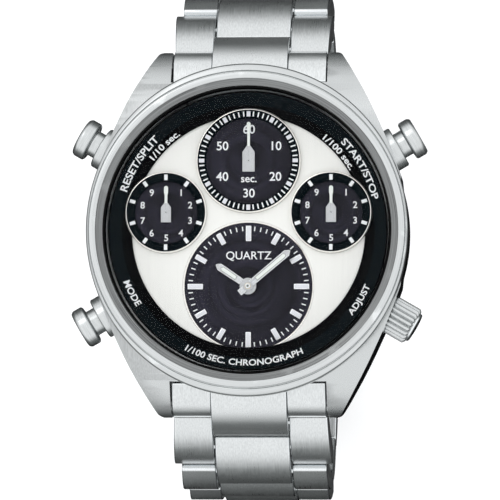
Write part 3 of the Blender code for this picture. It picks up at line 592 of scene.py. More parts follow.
brushed_metal("copper", (0.72, 0.34, 0.18), 0.3, "x", width=0.00015, depth=1e-5, contrast=0.2)
brushed_metal("brass", (0.72, 0.52, 0.24), 0.28, "round", depth=2e-6)
# A dark grey that paints shade: the shade in the hands' centre holes and in the channels round their lume.
coating("painted_hollow_shade", (0.16, 0.18, 0.16), 0.6)
coating("film", (0.03, 0.015, 0.06), 0.2, coat=0.6)


# ---- Placing ----

def piece(name, mesh, body, finishes, matrix=None, stands_for=()):
    """Places a mesh in the head's frame and fixes it to its CAD body."""
    obj = in_scene(name, mesh)
    mesh.name = name
    mesh.transform(Matrix.Scale(MM, 4))
    for finish in finishes:
        mesh.materials.append(FINISH[finish])
    mesh.shade_smooth()
    mesh.set_sharp_from_angle(angle=math.radians(50))
    placed = spot(0, 0, HEAD_HEIGHT) @ (matrix or Matrix.Identity(4))
    placed.translation *= MM
    obj.matrix_world = placed
    normals = obj.modifiers.new("normals", "WEIGHTED_NORMAL")
    normals.keep_sharp = True
    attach(obj, body)
    if stands_for:
        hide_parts(*stands_for)
    return obj


def head_piece(name, mesh, finishes, matrix=None, stands_for=()):
    return piece(name, mesh, "head", finishes, matrix, stands_for)


def steel_piece(name, meshes, body, matrix, stands_for):
    """A brushed piece of the bracelet, with polished bevels and pins."""
    return piece(name, joined(*meshes), body, ["link_satin", "polish"], matrix, [stands_for])


# ---- Case ----

def case_plan():
    """Right upper quarter of the case from above, mirrored to the other three."""
    tip = [(LUG_SLOT_HALF, LUG_SLOT_Y), (LUG_SLOT_HALF, LUG_TIP_Y - 0.15)]
    tip += [(LUG_SLOT_HALF + 0.15, LUG_TIP_Y)]
    corner = smooth([(11.3, LUG_TIP_Y), (11.85, 23.55), (12.35, 22.8)], 3)
    flank = smooth([(13.05, 21.65), (15.2, 17.8), (17.15, 13.7), (18.55, 10.4), (19.75, 7.1)], 4)
    quarter = tip + corner + flank + arc((0, 0), CASE_RADIUS, 16, 0, 8)
    right = quarter + [(x, -y) for x, y in reversed(quarter[:-1])]
    return right + [(-x, y) for x, y in reversed(right)]


def case_side():
    """Side view of the case as (y, z) points: the lugs sweep down to their tips."""
    under = smooth([(BACK_RADIUS, CASE_BOTTOM), (19.6, 0.75), (22.2, 0.22), (23.3, 0.5), (LUG_TIP_Y, 1.6)])
    over = smooth([(LUG_TIP_Y, 3.2), (23.3, 4.6), (21.6, 6.4), (19.2, 8.0), (16.4, 9.0), (13.5, CASE_TOP)])
    half = [(0, CASE_BOTTOM), *under, *over]
    return half + [(-y, z) for y, z in reversed(half[1:])]


def make_case():
    body = combined(
        prism(case_plan(), -1, CASE_TOP + 1),
        [bar(case_side(), -CASE_RADIUS - 4, CASE_RADIUS + 4)],
        "INTERSECT",
    )
    inside = [(0, -2), (BACK_BORE, -2), (BACK_BORE, 1.75), (MOVEMENT_BORE, 1.75), (MOVEMENT_BORE, DIAL_TOP)]
    inside += [(CASE_BORE, DIAL_TOP), (CASE_BORE, CASE_TOP + 2), (0, CASE_TOP + 2)]
    cuts = [lathe(inside, MEDIUM)]
    for angle in PUSHER_ANGLES.values():
        cuts.append(moved(prism(circle(2.85, COARSE), 20.75, 30), side_axis(angle)))
    pocket = prism(circle(CROWN_RADIUS + 0.2, COARSE), CROWN_SKIRT - 0.15, 30)
    cuts.append(moved(pocket, side_axis(CROWN_ANGLE)))
    body = combined(body, cuts, "DIFFERENCE")
    body = bevelled(body, 0.14, 40, 3, 1)
    # The upright outer walls beyond the lug slot take the brighter polished steel: painted light that lifts
    # the walls' shade.
    for face in body.polygons:
        outside = from_axis(face.center) > CASE_RADIUS - 2
        if outside and abs(face.center.x) > LUG_SLOT_HALF and abs(face.normal.z) < 0.2:
            face.material_index = 1
    head_piece("case_middle_body", body, ["case_satin", "polish"], stands_for=["case_middle"])


def make_bezel():
    low = CASE_TOP + 0.05
    top = BEZEL_TOP
    outer, groove = BEZEL_OUTER, BEZEL_GROOVE
    skirt = [(BEZEL_INNER, low), (outer - 0.2, low), (outer, low + 0.25), (outer, top - 0.6)]
    skirt += [(outer - 0.07, top - 0.35), (groove + 0.07, top - 0.13), (groove + 0.03, top - 0.4)]
    skirt += [(groove - 0.03, top - 0.4), (groove - 0.07, top - 0.06)]
    skirt += [(BEZEL_SLOPE, top), (BEZEL_SLOPE, top - 0.25), (BEZEL_INNER, top - 0.5)]
    ring = turned(skirt, 0.05)
    for vertex in ring.vertices:
        outside = from_axis(vertex.co) - groove
        share = min(1.0, max(0.0, outside / (outer - groove)))
        vertex.co.y *= 1 + share * (BEZEL_LENGTHWISE / outer - 1)
    head_piece("bezel_ring", ring, ["bezel_satin"], stands_for=["bezel"])
    # A ring of much darker steel lies over the bezel's sloped inner face: painted shade on the slope.
    near, far = BEZEL_INNER + 0.02, BEZEL_SLOPE - 0.01
    slope = [(near, top - 0.7), (far, top - 0.35), (far, top - 0.06), (near, top - 0.46)]
    head_piece("bezel_slope_ring", turned(slope, 0.04), ["bezel_slope"])


def make_crystal():
    glass = [(0, CRYSTAL_LOW), (CRYSTAL_RADIUS, CRYSTAL_LOW), (CRYSTAL_RADIUS, CRYSTAL_TOP - 0.3)]
    glass += [(CRYSTAL_RADIUS - 0.35, CRYSTAL_TOP), (0, CRYSTAL_TOP)]
    crystal = turned(glass, 0.06)
    # The glass's outer edge takes the matt black finish: a painted dark ring for the shade and dark
    # reflection at the crystal's edge.
    for face in crystal.polygons:
        rim = from_axis(face.center) > CRYSTAL_RADIUS - 0.1
        face.material_index = 1 if rim else 0
    head_piece("crystal_glass", crystal, ["glass", "matt_black"], stands_for=["crystal"])
    inner = CRYSTAL_RADIUS + 0.02
    outer = inner + 0.2
    low, high = CASE_TOP + 0.05, CRYSTAL_TOP - 0.4
    seal = turned([(inner, low), (outer, low), (outer, high), (inner, high)], 0.05)
    head_piece("crystal_seal", seal, ["rubber"], stands_for=["crystal_gasket"])


def make_case_back():
    profile = [(0, 0), (15.2, 0), (17.2, 0.5), (BACK_RADIUS, 0.8), (BACK_RADIUS, CASE_BOTTOM - 0.05)]
    profile += [(16.4, CASE_BOTTOM - 0.05), (16.4, 2.2), (15.5, 2.2), (15.5, 0.9), (0, 0.9)]
    plate = turned(profile, 0.12)
    notches = []
    for step in range(6):
        notch = bevelled(block((16.2, -0.9, -1), (18.5, 0.9, 0.75)), 0.1)
        notches.append(moved(notch, Matrix.Rotation(math.radians(60 * step + 30), 4, "Z")))
    plate = bevelled(combined(plate, notches, "DIFFERENCE"), 0.03, 60, 1)
    head_piece("case_back_plate", plate, ["turned_steel"], stands_for=["case_back"])


# ---- Dial ----

def flange_height(radius):
    share = (radius - FLANGE_FLAT) / (FLANGE_LIP - FLANGE_FLAT)
    return FLANGE_LOW + (FLANGE_HIGH - FLANGE_LOW) * max(0.0, share)


def curved_words(text, height, radius, angle, upside=False, weight=0.022, stretch=1.27):
    """Words bent round the flange; those below the middle read from the inside out."""
    mesh = lettering(text, height, weight, stretch)
    for vertex in mesh.vertices:
        turn = vertex.co.x / radius
        reach = radius + (-vertex.co.y if upside else vertex.co.y)
        heading = math.radians(angle) + (-turn if upside else turn)
        lift = flange_height(reach) + vertex.co.z + 0.01
        vertex.co = (reach * math.sin(heading), reach * math.cos(heading), lift)
    return mesh


def make_flange():
    low = DIAL_TOP + 0.05
    profile = [(FLANGE_INNER, low), (FLANGE_OUTER, low), (FLANGE_OUTER, FLANGE_HIGH)]
    profile += [(FLANGE_LIP, FLANGE_HIGH), (FLANGE_FLAT, FLANGE_LOW)]
    profile += [(FLANGE_INNER + 0.15, FLANGE_LOW - 0.1), (FLANGE_INNER, FLANGE_LOW - 0.25)]
    notches = []
    for (x, y), (_, outer) in RING_PLACES:
        notches.append(moved(prism(circle(outer + 0.05, FINE), DIAL_LOW, CASE_TOP), spot(x, y)))
    body = combined(turned(profile, 0.08), notches, "DIFFERENCE")
    for face in body.polygons:
        inside = from_axis(face.center) < FLANGE_FLAT - 0.02
        face.material_index = 1 if inside or face.center.z > FLANGE_HIGH - 0.05 else 0
    head_piece("flange_ring", body, ["gloss_black", "matt_black"], stands_for=["dial_flange"])


def make_flange_words():
    upper = [("START/STOP", 61.0), ("RESET/SPLIT", 301.7)]
    lower = [("ADJUST", 121.7), ("MODE", 241.9), ("1/100 SEC. CHRONOGRAPH", 181.9)]
    small = [("1/100 sec.", 48.5), ("1/10 sec.", 315.4)]
    words = [curved_words(text, 0.85, WORDS_RADIUS, angle) for text, angle in upper]
    for text, angle in lower:
        words.append(curved_words(text, WORDS_HEIGHT, WORDS_RADIUS, angle, True, stretch=1.1))
    words += [curved_words(text, 0.78, SMALL_WORDS_RADIUS, angle) for text, angle in small]
    head_piece("flange_words", joined(*words), ["ink"])


def make_dial():
    holes = []
    for (x, y), (_, outer) in [*RING_PLACES, (TIME_AXIS, (TIME_FACE, TIME_OPENING))]:
        holes.append(moved(prism(circle(outer + 0.02, FINE), DIAL_LOW - 1, DIAL_TOP + 1), spot(x, y)))
    plate = combined(prism(circle(DIAL_RADIUS, FINE), DIAL_LOW, DIAL_TOP), holes, "DIFFERENCE")
    head_piece("white_dial_plate", plate, ["white_dial"], stands_for=["dial_plate"])


def subdial_face(name, axis, radius, hole, stands_for=()):
    profile = [(hole, FACE_TOP - 0.3), (radius, FACE_TOP - 0.3), (radius, FACE_TOP), (hole, FACE_TOP)]
    head_piece(name, lathe(profile, FINE), ["dark_dial"], spot(*axis), stands_for)


def subdial_ring(name, axis, inner, outer, stands_for):
    """A gloss black ring that slopes down to its face, with a bright rim outside."""
    edge = outer - RIM
    profile = [(inner, DIAL_LOW), (edge, DIAL_LOW), (edge, RING_TOP), (inner + 0.42, RING_TOP)]
    profile += [(inner + 0.12, RING_TOP - 0.3), (inner, RING_TOP - 0.45)]
    head_piece(name, turned(profile, 0.05), ["gloss_black"], spot(*axis), stands_for)
    rim = [(edge + 0.005, DIAL_LOW), (outer, DIAL_LOW), (outer, RING_TOP - 0.22), (outer - 0.06, RING_TOP)]
    rim += [(edge + 0.005, RING_TOP + 0.03)]
    head_piece(name + "_rim", turned(rim, 0.04), ["rim"], spot(*axis))


FIFTHS = range(0, 60, 5)


def radial_blocks(count, inner, outer, width, height, skip=(), bevel=0.03):
    """Bevelled blocks pointing at the centre, spaced evenly clockwise from 12."""
    blocks = []
    for step in range(count):
        if step in skip:
            continue
        bit = bevelled(block((-width / 2, inner, 0), (width / 2, outer, height)), bevel, 35, 2)
        blocks.append(moved(bit, clockwise(360 * step / count)))
    return joined(*blocks)


def numerals(words, radius, height, weight=0.02):
    """Upright numbers round a subdial, as (text, clock angle) pairs."""
    made = []
    for text, angle in words:
        heading = math.radians(angle)
        place = spot(radius * math.sin(heading), radius * math.cos(heading))
        made.append(moved(lettering(text, height, weight), place))
    return joined(*made)


def make_subdials():
    subdial_face("seconds_face", SECONDS_AXIS, SECONDS_RING[0] + 0.5, 0.45, ["subdial_plate"])
    subdial_ring("seconds_scale", SECONDS_AXIS, *SECONDS_RING, ["seconds_ring"])
    on_ring = spot(*SECONDS_AXIS, RING_TOP)
    blocks = radial_blocks(12, 5.72, 6.42, width=0.5, height=0.05)
    head_piece("seconds_blocks", blocks, ["marker_fill"], on_ring)
    ticks = radial_blocks(60, 5.74, 6.4, width=0.17, height=0.04, skip=FIFTHS)
    head_piece("seconds_ticks", ticks, ["ink"], on_ring)
    upright = [("60", 0), ("30", 180)]
    places = [("10", 60), ("20", 120), ("40", 240), ("50", 300)]
    on_face = spot(*SECONDS_AXIS, FACE_TOP)
    marks = [numerals(upright, 4.15, 1.09), numerals(places, 3.98, 1.09)]
    marks.append(moved(lettering("sec.", 0.95, 0.015), spot(0, -2.25)))
    head_piece("seconds_numerals", joined(*marks), ["ink"], on_face)

    digits = [(str(number), 36 * number) for number in range(1, 10)]
    for name, axis in (("tenths", TENTHS_AXIS), ("hundredths", HUNDREDTHS_AXIS)):
        subdial_face(f"{name}_face", axis, SMALL_RING[0] + 0.5, 0.45)
        subdial_ring(f"{name}_scale", axis, *SMALL_RING, [f"{name}_ring"])
        blocks = radial_blocks(10, 4.17, 4.9, width=0.44, height=0.05)
        head_piece(f"{name}_blocks", blocks, ["ink"], spot(*axis, RING_TOP))
        digit_ring = numerals(digits, 3.25, 0.83)
        head_piece(f"{name}_numerals", digit_ring, ["ink"], spot(*axis, FACE_TOP))


def make_time_subdial():
    subdial_face("time_face", TIME_AXIS, TIME_FACE, 1.0)
    inner, outer = TIME_FACE + 0.01, TIME_OPENING
    rim = [(inner, DIAL_LOW - 0.1), (outer, DIAL_LOW - 0.1), (outer, DIAL_TOP + 0.03)]
    rim += [(outer - 0.08, DIAL_TOP + 0.03), (inner, DIAL_TOP - 0.08)]
    head_piece("time_rim", turned(rim, 0.03), ["rim"], spot(*TIME_AXIS))
    frames, fills = [], []
    for hour in range(12):
        start, width = (5.87, 0.75) if hour % 3 == 0 else (6.31, 0.7)
        turn = clockwise(30 * hour)
        marker = block((-width / 2, start, 0), (width / 2, MARKER_END, 0.3))
        side, near, far = width / 2 - MARKER_FRAME, start + MARKER_FRAME, MARKER_END - MARKER_FRAME
        fill = block((-side, near, 0.2), (side, far, 0.33))
        frames.append(moved(bevelled(marker, 0.09, 35, 2), turn))
        fills.append(moved(bevelled(fill, 0.03, 35, 2), turn))
    on_face = spot(*TIME_AXIS, FACE_TOP)
    head_piece("hour_markers", joined(*frames), ["marker_metal"], on_face)
    head_piece("hour_marker_fills", joined(*fills), ["marker_fill"], on_face)
    ticks = radial_blocks(60, *TICKS_REACH, width=0.15, height=0.03, skip=FIFTHS, bevel=0.01)
    head_piece("minute_ticks", ticks, ["ink"], on_face)
    words = moved(lettering("QUARTZ", 1.0, 0.01), spot(0, 4.05))
    head_piece("dial_words", words, ["ink"], on_face)


# ---- Hands: each lies along +Y before it is turned to its hour ----

def hand_plate(right_side, bevel=0.05):
    """A thin plate from its right-hand outline, mirrored to the left."""
    outline = right_side + [(-x, y) for x, y in reversed(right_side) if x > 1e-6]
    plate = prism(outline, 0, HAND_THICKNESS)
    return bevelled(plate, bevel, 35, 2) if bevel else plate


def make_small_hand(name, axis, tip, apex, shoulder, half_width, tail, needle):
    """A wide body that narrows at its shoulder to a needle with a round end."""
    pointed = [(needle, apex + 0.05), (needle * 0.6, apex + 0.2)]
    body = hand_plate([(half_width, -tail), (half_width, shoulder), *pointed])
    bulb = needle * 1.45
    head = arc((0, tip - bulb), bulb, 0, 90, 6)
    side = [(needle, apex - 0.1), (needle, tip - 4.5 * bulb), (bulb, tip - 3.2 * bulb), *head]
    if bulb < 0.2:
        side = [(needle, apex - 0.1), (needle, tip - 0.1), *arc((0, tip - needle), needle, 0, 90, 5)]
    needle_plate = moved(hand_plate(side, 0.03), spot(0, 0, 0.02))
    post = cap(0.28, -1.5, 0.05)
    pin = turned([(0.08, 0.1), (0.26, 0.1), (0.26, 0.2), (0.08, 0.2)], 0.02, COARSE)
    # The dimple is a dark grey disc in the pin's bore: painted shade of the centre hole.
    dimple = painted(cap(0.12, 0.1, 0.17, 0.02), 2)
    mesh = joined(body, painted(needle_plate, 1), post, pin, dimple)
    finishes = ["hand_satin", "lume", "painted_hollow_shade"]
    piece(f"{name}_plate", mesh, name, finishes, spot(*axis, HANDS_Z), [name])


def time_hand_mesh(length, half_width, root, hub, tail, lume):
    """A baton that widens outwards to a pointed tip, with a lume bar let into it."""
    right = [(root, -tail)] if tail else []
    right += [(root, 0.0), (half_width, length - half_width * 1.15)]
    right += [(half_width * 0.25, length - 0.06), (0, length)]
    baton = bevelled(hand_plate(right, 0), 0.09, 35, 2, 2)
    start, end = lume
    inner = half_width * 0.5
    fill = [(inner * 0.9, start), (inner, end), (0, end + inner * 0.9)]
    inset = moved(hand_plate(fill, 0.02), spot(0, 0, 0.03))
    # A dark grey plate a little wider than the lume lies under it: its border is painted shade in the lume's
    # channel.
    border = [(0.9 * inner + 0.06, start - 0.06), (inner + 0.06, end), (0, end + inner * 0.9 + 0.07)]
    groove = moved(hand_plate(border, 0), spot(0, 0, 0.01))
    plate = cap(hub, -0.03, HAND_THICKNESS + 0.05)
    return joined(baton, painted(inset, 1), painted(groove, 3), plate)


def make_hands():
    make_small_hand("seconds_hand", SECONDS_AXIS, tip=5.04, apex=2.0, shoulder=1.14,
                    half_width=0.81, tail=1.43, needle=0.175)
    for name, axis in (("tenths_hand", TENTHS_AXIS), ("hundredths_hand", HUNDREDTHS_AXIS)):
        make_small_hand(name, axis, tip=3.45, apex=1.28, shoulder=0.66,
                        half_width=0.67, tail=1.3, needle=0.185)
    finishes = ["hand_satin", "lume", "polish", "painted_hollow_shade"]
    hour = time_hand_mesh(length=5.05, half_width=0.5, root=0.42, hub=1.08, tail=0, lume=(1.9, 4.0))
    place = spot(*TIME_AXIS, HOUR_HAND_Z) @ clockwise(HOUR_HAND_ANGLE)
    piece("hour_hand_plate", hour, "hour_train", finishes, place, ["hour_hand"])
    minute = time_hand_mesh(length=7.15, half_width=0.48, root=0.44, hub=0.66, tail=1.45, lume=(1.45, 6.1))
    button = painted(cap(0.36, 0, 0.34, 0.08), 2)
    # The dimple is a dark grey disc on the cap's top: painted shade of its centre hollow.
    dimple = painted(cap(0.16, 0.3, 0.36, 0.02), 3)
    mesh = joined(minute, button, dimple)
    place = spot(*TIME_AXIS, MINUTE_HAND_Z) @ clockwise(MINUTE_HAND_ANGLE)
    piece("minute_hand_plate", mesh, "minute_train", finishes, place, ["minute_hand"])


# ---- Crown and pushers ----

def make_crown():
    low = CROWN_SKIRT
    cap_radius, cap_low = CROWN_CAP
    profile = [(CROWN_RADIUS - 0.1, low), (CROWN_RADIUS, low + 0.15), (CROWN_RADIUS, 24.25), (2.2, 24.5)]
    profile = filleted([*profile, (cap_radius + 0.03, 24.55)], 0.1, 2)
    count = 8 * CROWN_FLUTES
    rows = [(0.0, low), *profile, (cap_radius, 24.6)]
    points = []
    for radius, height in rows:
        for step in range(count):
            angle = 2 * math.pi * step / count
            wave = 0.5 + 0.5 * math.cos(CROWN_FLUTES * angle)
            reach = radius - (FLUTE_DEPTH * (1 - wave ** 0.5) if radius > 2.1 else 0)
            points.append((reach * math.cos(angle), reach * math.sin(angle), height))
    faces = []
    for level in range(len(rows) - 1):
        for step in range(count):
            follow = (step + 1) % count
            start, end = level * count, (level + 1) * count
            faces.append([start + step, start + follow, end + follow, end + step])
    faces.append(list(range(count * (len(rows) - 1), count * len(rows))))
    knob = mesh_of(points, faces)
    dome = [(0, cap_low), (cap_radius, cap_low), (cap_radius, 24.75), (1.8, 24.86), (1.2, 24.93)]
    mesh = joined(knob, painted(turned([*dome, (0, CROWN_END)], 0.05, MEDIUM), 1))
    finishes = ["turned_steel", "polish"]
    piece("crown_knob", mesh, "crown_stem", finishes, side_axis(CROWN_ANGLE), ["crown"])


def coil(radius, wire, low, high, turns):
    """A coil spring about Z in round wire, with its ends wound flat."""
    sides = 10
    steps = turns * 32
    points = []
    for step in range(steps + 1):
        angle = 2 * math.pi * step * turns / steps
        share = min(1.0, max(0.0, (step / steps - 0.08) / 0.84))
        height = low + wire + (high - low - 2 * wire) * share
        for spoke in range(sides):
            turn = 2 * math.pi * spoke / sides
            reach = radius + wire * math.cos(turn)
            points.append((reach * math.cos(angle), reach * math.sin(angle), height + wire * math.sin(turn)))
    faces = [list(range(sides)), list(range(sides * steps, sides * (steps + 1)))]
    for step in range(steps):
        for spoke in range(sides):
            follow = (spoke + 1) % sides
            corners = [(step, spoke), (step, follow), (step + 1, follow), (step + 1, spoke)]
            faces.append([sides * along + around for along, around in corners])
    return mesh_of(points, faces)


def make_pushers():
    low, high = SPRING_REACH
    neck, neck_end = BUTTON_NECK
    head, end = BUTTON_HEAD
    profile = [(0, 16.1), (0.5, 16.1), (0.5, high + 0.05), (neck, high + 0.05), (neck, neck_end)]
    profile += [(2.4, neck_end), (head, neck_end + 0.2), (head, 25.0), (2.35, end), (0, end)]
    collar = [(0.6, 17), (1.5, 17), (1.5, 20.8), (2.75, 20.8), (2.75, 22.25), (2.6, COLLAR_END)]
    collar += [(COLLAR_BORE, COLLAR_END), (COLLAR_BORE, 21.2), (1.2, 21.2)]
    collar += [(1.2, low - 0.05), (0.6, low - 0.05)]
    for name, angle in PUSHER_ANGLES.items():
        body = f"{name}_pusher"
        place = side_axis(angle)
        button = turned(profile, 0.16, MEDIUM)
        piece(body + "_button", button, body, ["turned_steel"], place, [body])
        tube = turned(collar, 0.05, MEDIUM)
        head_piece(body + "_collar", tube, ["turned_steel"], place, [body + "_tube"])
        wire = coil(radius=0.85, wire=0.12, low=low, high=high, turns=4)
        spring = head_piece(body + "_coil", wire, ["polish"], place, [body + "_spring"])
        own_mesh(spring)


# ---- Bracelet ----

def hinge_points():
    points = [Vector(FIRST_HINGE)]
    for slope in LINK_SLOPES:
        angle = math.radians(slope)
        points.append(points[-1] + PITCH * Vector((math.cos(angle), -math.sin(angle))))
    return points


HINGES = hinge_points()
CLASP_LENGTH = 2 * HINGES[-1].x
BLADE_HINGE = (CLASP_LENGTH - 4.9, -0.95, 0.9)
COVER_END = CLASP_LENGTH - 2.5


def half_turn(side):
    """Places a shape made for the 12 o'clock side (1) on that side or on the other (-1)."""
    return Matrix.Identity(4) if side > 0 else Matrix.Rotation(math.pi, 4, "Z")


def side_matrix(side, point, slope):
    """A link's own frame: +Y along the bracelet away from the case, +Z outwards."""
    return half_turn(side) @ spot(0, *point) @ Matrix.Rotation(-math.radians(slope), 4, "X")


def crowned(low, high):
    """Side view of a link piece: an arched outside that ends in a narrow flat lip at each side."""
    thick, crown, end = LINK_HALF_THICKNESS, LINK_CROWN, LINK_END
    middle = (low + high) / 2
    half = (high - low) / 2 - end
    slope = math.degrees(math.atan(2 * crown / half))
    over = []
    for step in range(13):
        share = -1 + 2 * step / 12
        over.append((middle + share * half, thick - crown * share * share))
    front = arc((high - end, thick - crown - end), end, 90 - slope, 0, 5)
    back = arc((low + end, thick - crown - end), end, 180, 90 + slope, 5)
    under = [(high - 0.1, -thick + 0.6), (high - 0.6, -thick), (low + 0.6, -thick), (low + 0.1, -thick + 0.6)]
    return back + over[1:-1] + front + under


def side_bar(outline, low, high, bevel, steps=3):
    """A bar with bright bevels along its sides."""
    return bevelled(bar(outline, low, high), bevel, 50, steps, 1)


def link_bar(outline, low, high, bevel):
    """One piece of a link, with polished bevels at its sides and polished rounded ends."""
    mesh = side_bar(outline, low, high, bevel)
    for face in mesh.polygons:
        if abs(face.normal.y) > 0.8:
            face.material_index = 1
    return mesh


def tapered(mesh, near, far):
    """Draws a link's sides in, from one half width at its near end to another at its far end."""
    for vertex in mesh.vertices:
        share = (vertex.co.y + LINK_OVERHANG) / (OUTER_LINK_END + LINK_OVERHANG)
        width = near + (far - near) * min(1.0, max(0.0, share))
        if abs(vertex.co.x) > CENTRE_HALF_WIDTH + ROW_GAP + 0.5:
            vertex.co.x += math.copysign(width - near, vertex.co.x)
    return mesh


def make_link(name, index, matrix):
    """Two outer pieces pinned to a centre piece that reaches past the next hinge."""
    near, far = HALF_WIDTHS[index - 1], HALF_WIDTHS[index]
    inner = CENTRE_HALF_WIDTH + ROW_GAP
    meshes = []
    outline = crowned(LINK_SHIFT - LINK_OVERHANG, LINK_SHIFT + OUTER_LINK_END)
    for start, end in ((inner, near), (-near, -inner)):
        meshes.append(tapered(link_bar(outline, start, end, 0.16), near, far))
    centre = crowned(LINK_SHIFT + PITCH - OUTER_LINK_END, LINK_SHIFT + PITCH + LINK_OVERHANG)
    meshes.append(link_bar(centre, -CENTRE_HALF_WIDTH, CENTRE_HALF_WIDTH, 0.2))
    for place, reach in ((PITCH / 2, far - 0.05), (0.0, near - 0.05)):
        pin = across(cap(PIN_RADIUS, -reach, reach, 0.08, 24))
        meshes.append(painted(moved(pin, spot(0, place)), 1))
    steel_piece(f"{name}_body", meshes, name, matrix, name)


def make_end_link(name, side):
    """The piece between the lugs, in three rows; its middle row carries the first hinge."""
    wall = LUG_SLOT_Y + 0.15
    lip = FIRST_HINGE[0] - 0.45
    back = FIRST_HINGE[0] - LINK_OVERHANG - 0.2
    rim = [(lip, 3.35), (lip, 3.8), (lip - 0.04, 3.86), (lip - 0.2, 3.92)]
    over = smooth([(lip - 0.24, 4.05), (23.3, 4.75), (22.7, 5.4), (22.0, 5.85), (21.0, 6.25), (wall, 6.6)])
    outer = [(wall, 1.4), (21.0, 0.9), (back, 0.9), (back, 3.25), *rim, *over]
    inner = CENTRE_HALF_WIDTH + 0.06
    meshes = []
    for start, end in ((inner, HALF_WIDTHS[0]), (-HALF_WIDTHS[0], -inner)):
        meshes.append(side_bar(outer, start, end, 0.14))
    nose = arc(FIRST_HINGE, LINK_OVERHANG, -110, 40, 12)
    nose += smooth([(25.3, 3.1), (24.6, 4.3), (23.6, 5.35), (22.4, 6.15), (21.0, 6.75), (wall + 0.5, 7.1)])
    nose = [(wall + 0.5, 1.6), (22.0, 0.2), *nose]
    meshes.append(side_bar(nose, -CENTRE_HALF_WIDTH, CENTRE_HALF_WIDTH, 0.22))
    steel_piece(f"{name}_body", meshes, "head", half_turn(side), name)


def make_bracelet():
    for side, hour in ((1, "12"), (-1, "6")):
        make_end_link(f"end_link_{hour}", side)
        for index, slope in enumerate(LINK_SLOPES):
            make_link(f"link_{hour}_{index + 1}", index + 1, side_matrix(side, HINGES[index], slope))


# ---- Clasp: measured from its hinge on the last 6 o'clock link, +Z outwards ----

def rod(radius, start, end, y, z):
    """A round-ended rod along X."""
    return moved(across(cap(radius, start, end, 0.06, 32)), spot(0, y, z))


def on_both_sides(make, start, end):
    return joined(make(start, end), make(-end, -start))


def twin_rods(radius, start, end, y, z):
    return painted(on_both_sides(lambda left, right: rod(radius, left, right, y, z), start, end), 1)


def slab(low, high, bevel):
    return bevelled(block(low, high), bevel, 40, 2, 1)


def twin_slabs(start, end, low, high, bevel):
    """Two slabs, left and right, between two (y, z) corners."""
    return on_both_sides(lambda left, right: slab((left, *low), (right, *high), bevel), start, end)


def clasp_place():
    return side_matrix(-1, HINGES[-1], 180)


def make_inner_blade():
    """A plate with an ear at each side of the last link, and a knuckle at its far end."""
    hinge_y, hinge_z, radius = BLADE_HINGE
    (low, high), knuckle, clear = INNER_BLADE_Z, KNUCKLE_HALF, HINGE_CLEARANCE
    far, near, bottom = EAR_END - 1, 1 - clear, low + 1
    ear = []
    for step, centre in enumerate([(far, 0.2), (near, 0.2), (near, bottom), (far, bottom)]):
        ear += arc(centre, 1.0, 90 * step, 90 * step + 90, 6)
    parts = [slab((-EAR_X[1], EAR_END - 0.9, low), (EAR_X[1], hinge_y - clear, high), 0.12)]
    parts.append(slab((-knuckle, hinge_y - clear - 0.5, low), (knuckle, hinge_y, high), 0.08))
    parts.append(on_both_sides(lambda left, right: side_bar(ear, left, right, 0.12, 2), *EAR_X))
    parts.append(painted(rod(radius, -knuckle, knuckle, hinge_y, hinge_z), 1))
    steel_piece("clasp_inner_plate", parts, "clasp_inner", clasp_place(), "clasp_inner_blade")


def make_middle_blade():
    """A plate with three slots, hinged to the inner blade at one end and to the cover at the other."""
    blade_y, blade_z, blade_radius = BLADE_HINGE
    cover_y, cover_z, cover_radius = COVER_HINGE
    (low, high), knuckle, clear = MIDDLE_BLADE_Z, KNUCKLE_HALF, HINGE_CLEARANCE
    half, inner = BLADE_HALF_WIDTH, KNUCKLE_HALF + 0.2
    plate = block((-half, cover_y + clear, low), (half, blade_y - clear, high))
    slot = arc((2.2, 0), 1.1, -90, 90, 8) + arc((-2.2, 0), 1.1, 90, 270, 8)
    slots = []
    for share in (0.25, 0.5, 0.75):
        middle = cover_y + share * (blade_y - cover_y)
        slots.append(prism([(x, y + middle) for x, y in slot], low - 1, high + 1))
    parts = [bevelled(combined(plate, slots, "DIFFERENCE"), 0.1, 40, 2, 1)]
    parts.append(slab((-knuckle, cover_y, low), (knuckle, cover_y + clear + 0.5, high), 0.08))
    parts.append(slab((-knuckle, cover_y - 0.3, high - 0.2), (knuckle, cover_y + 0.3, cover_z), 0.05))
    parts.append(twin_slabs(inner, half, (blade_y - clear - 0.5, low), (blade_y, high), 0.08))
    parts.append(painted(rod(cover_radius, -knuckle, knuckle, cover_y, cover_z), 1))
    parts.append(twin_rods(blade_radius, inner, half, blade_y, blade_z))
    steel_piece("clasp_middle_plate", parts, "clasp_middle", clasp_place(), "clasp_middle_blade")


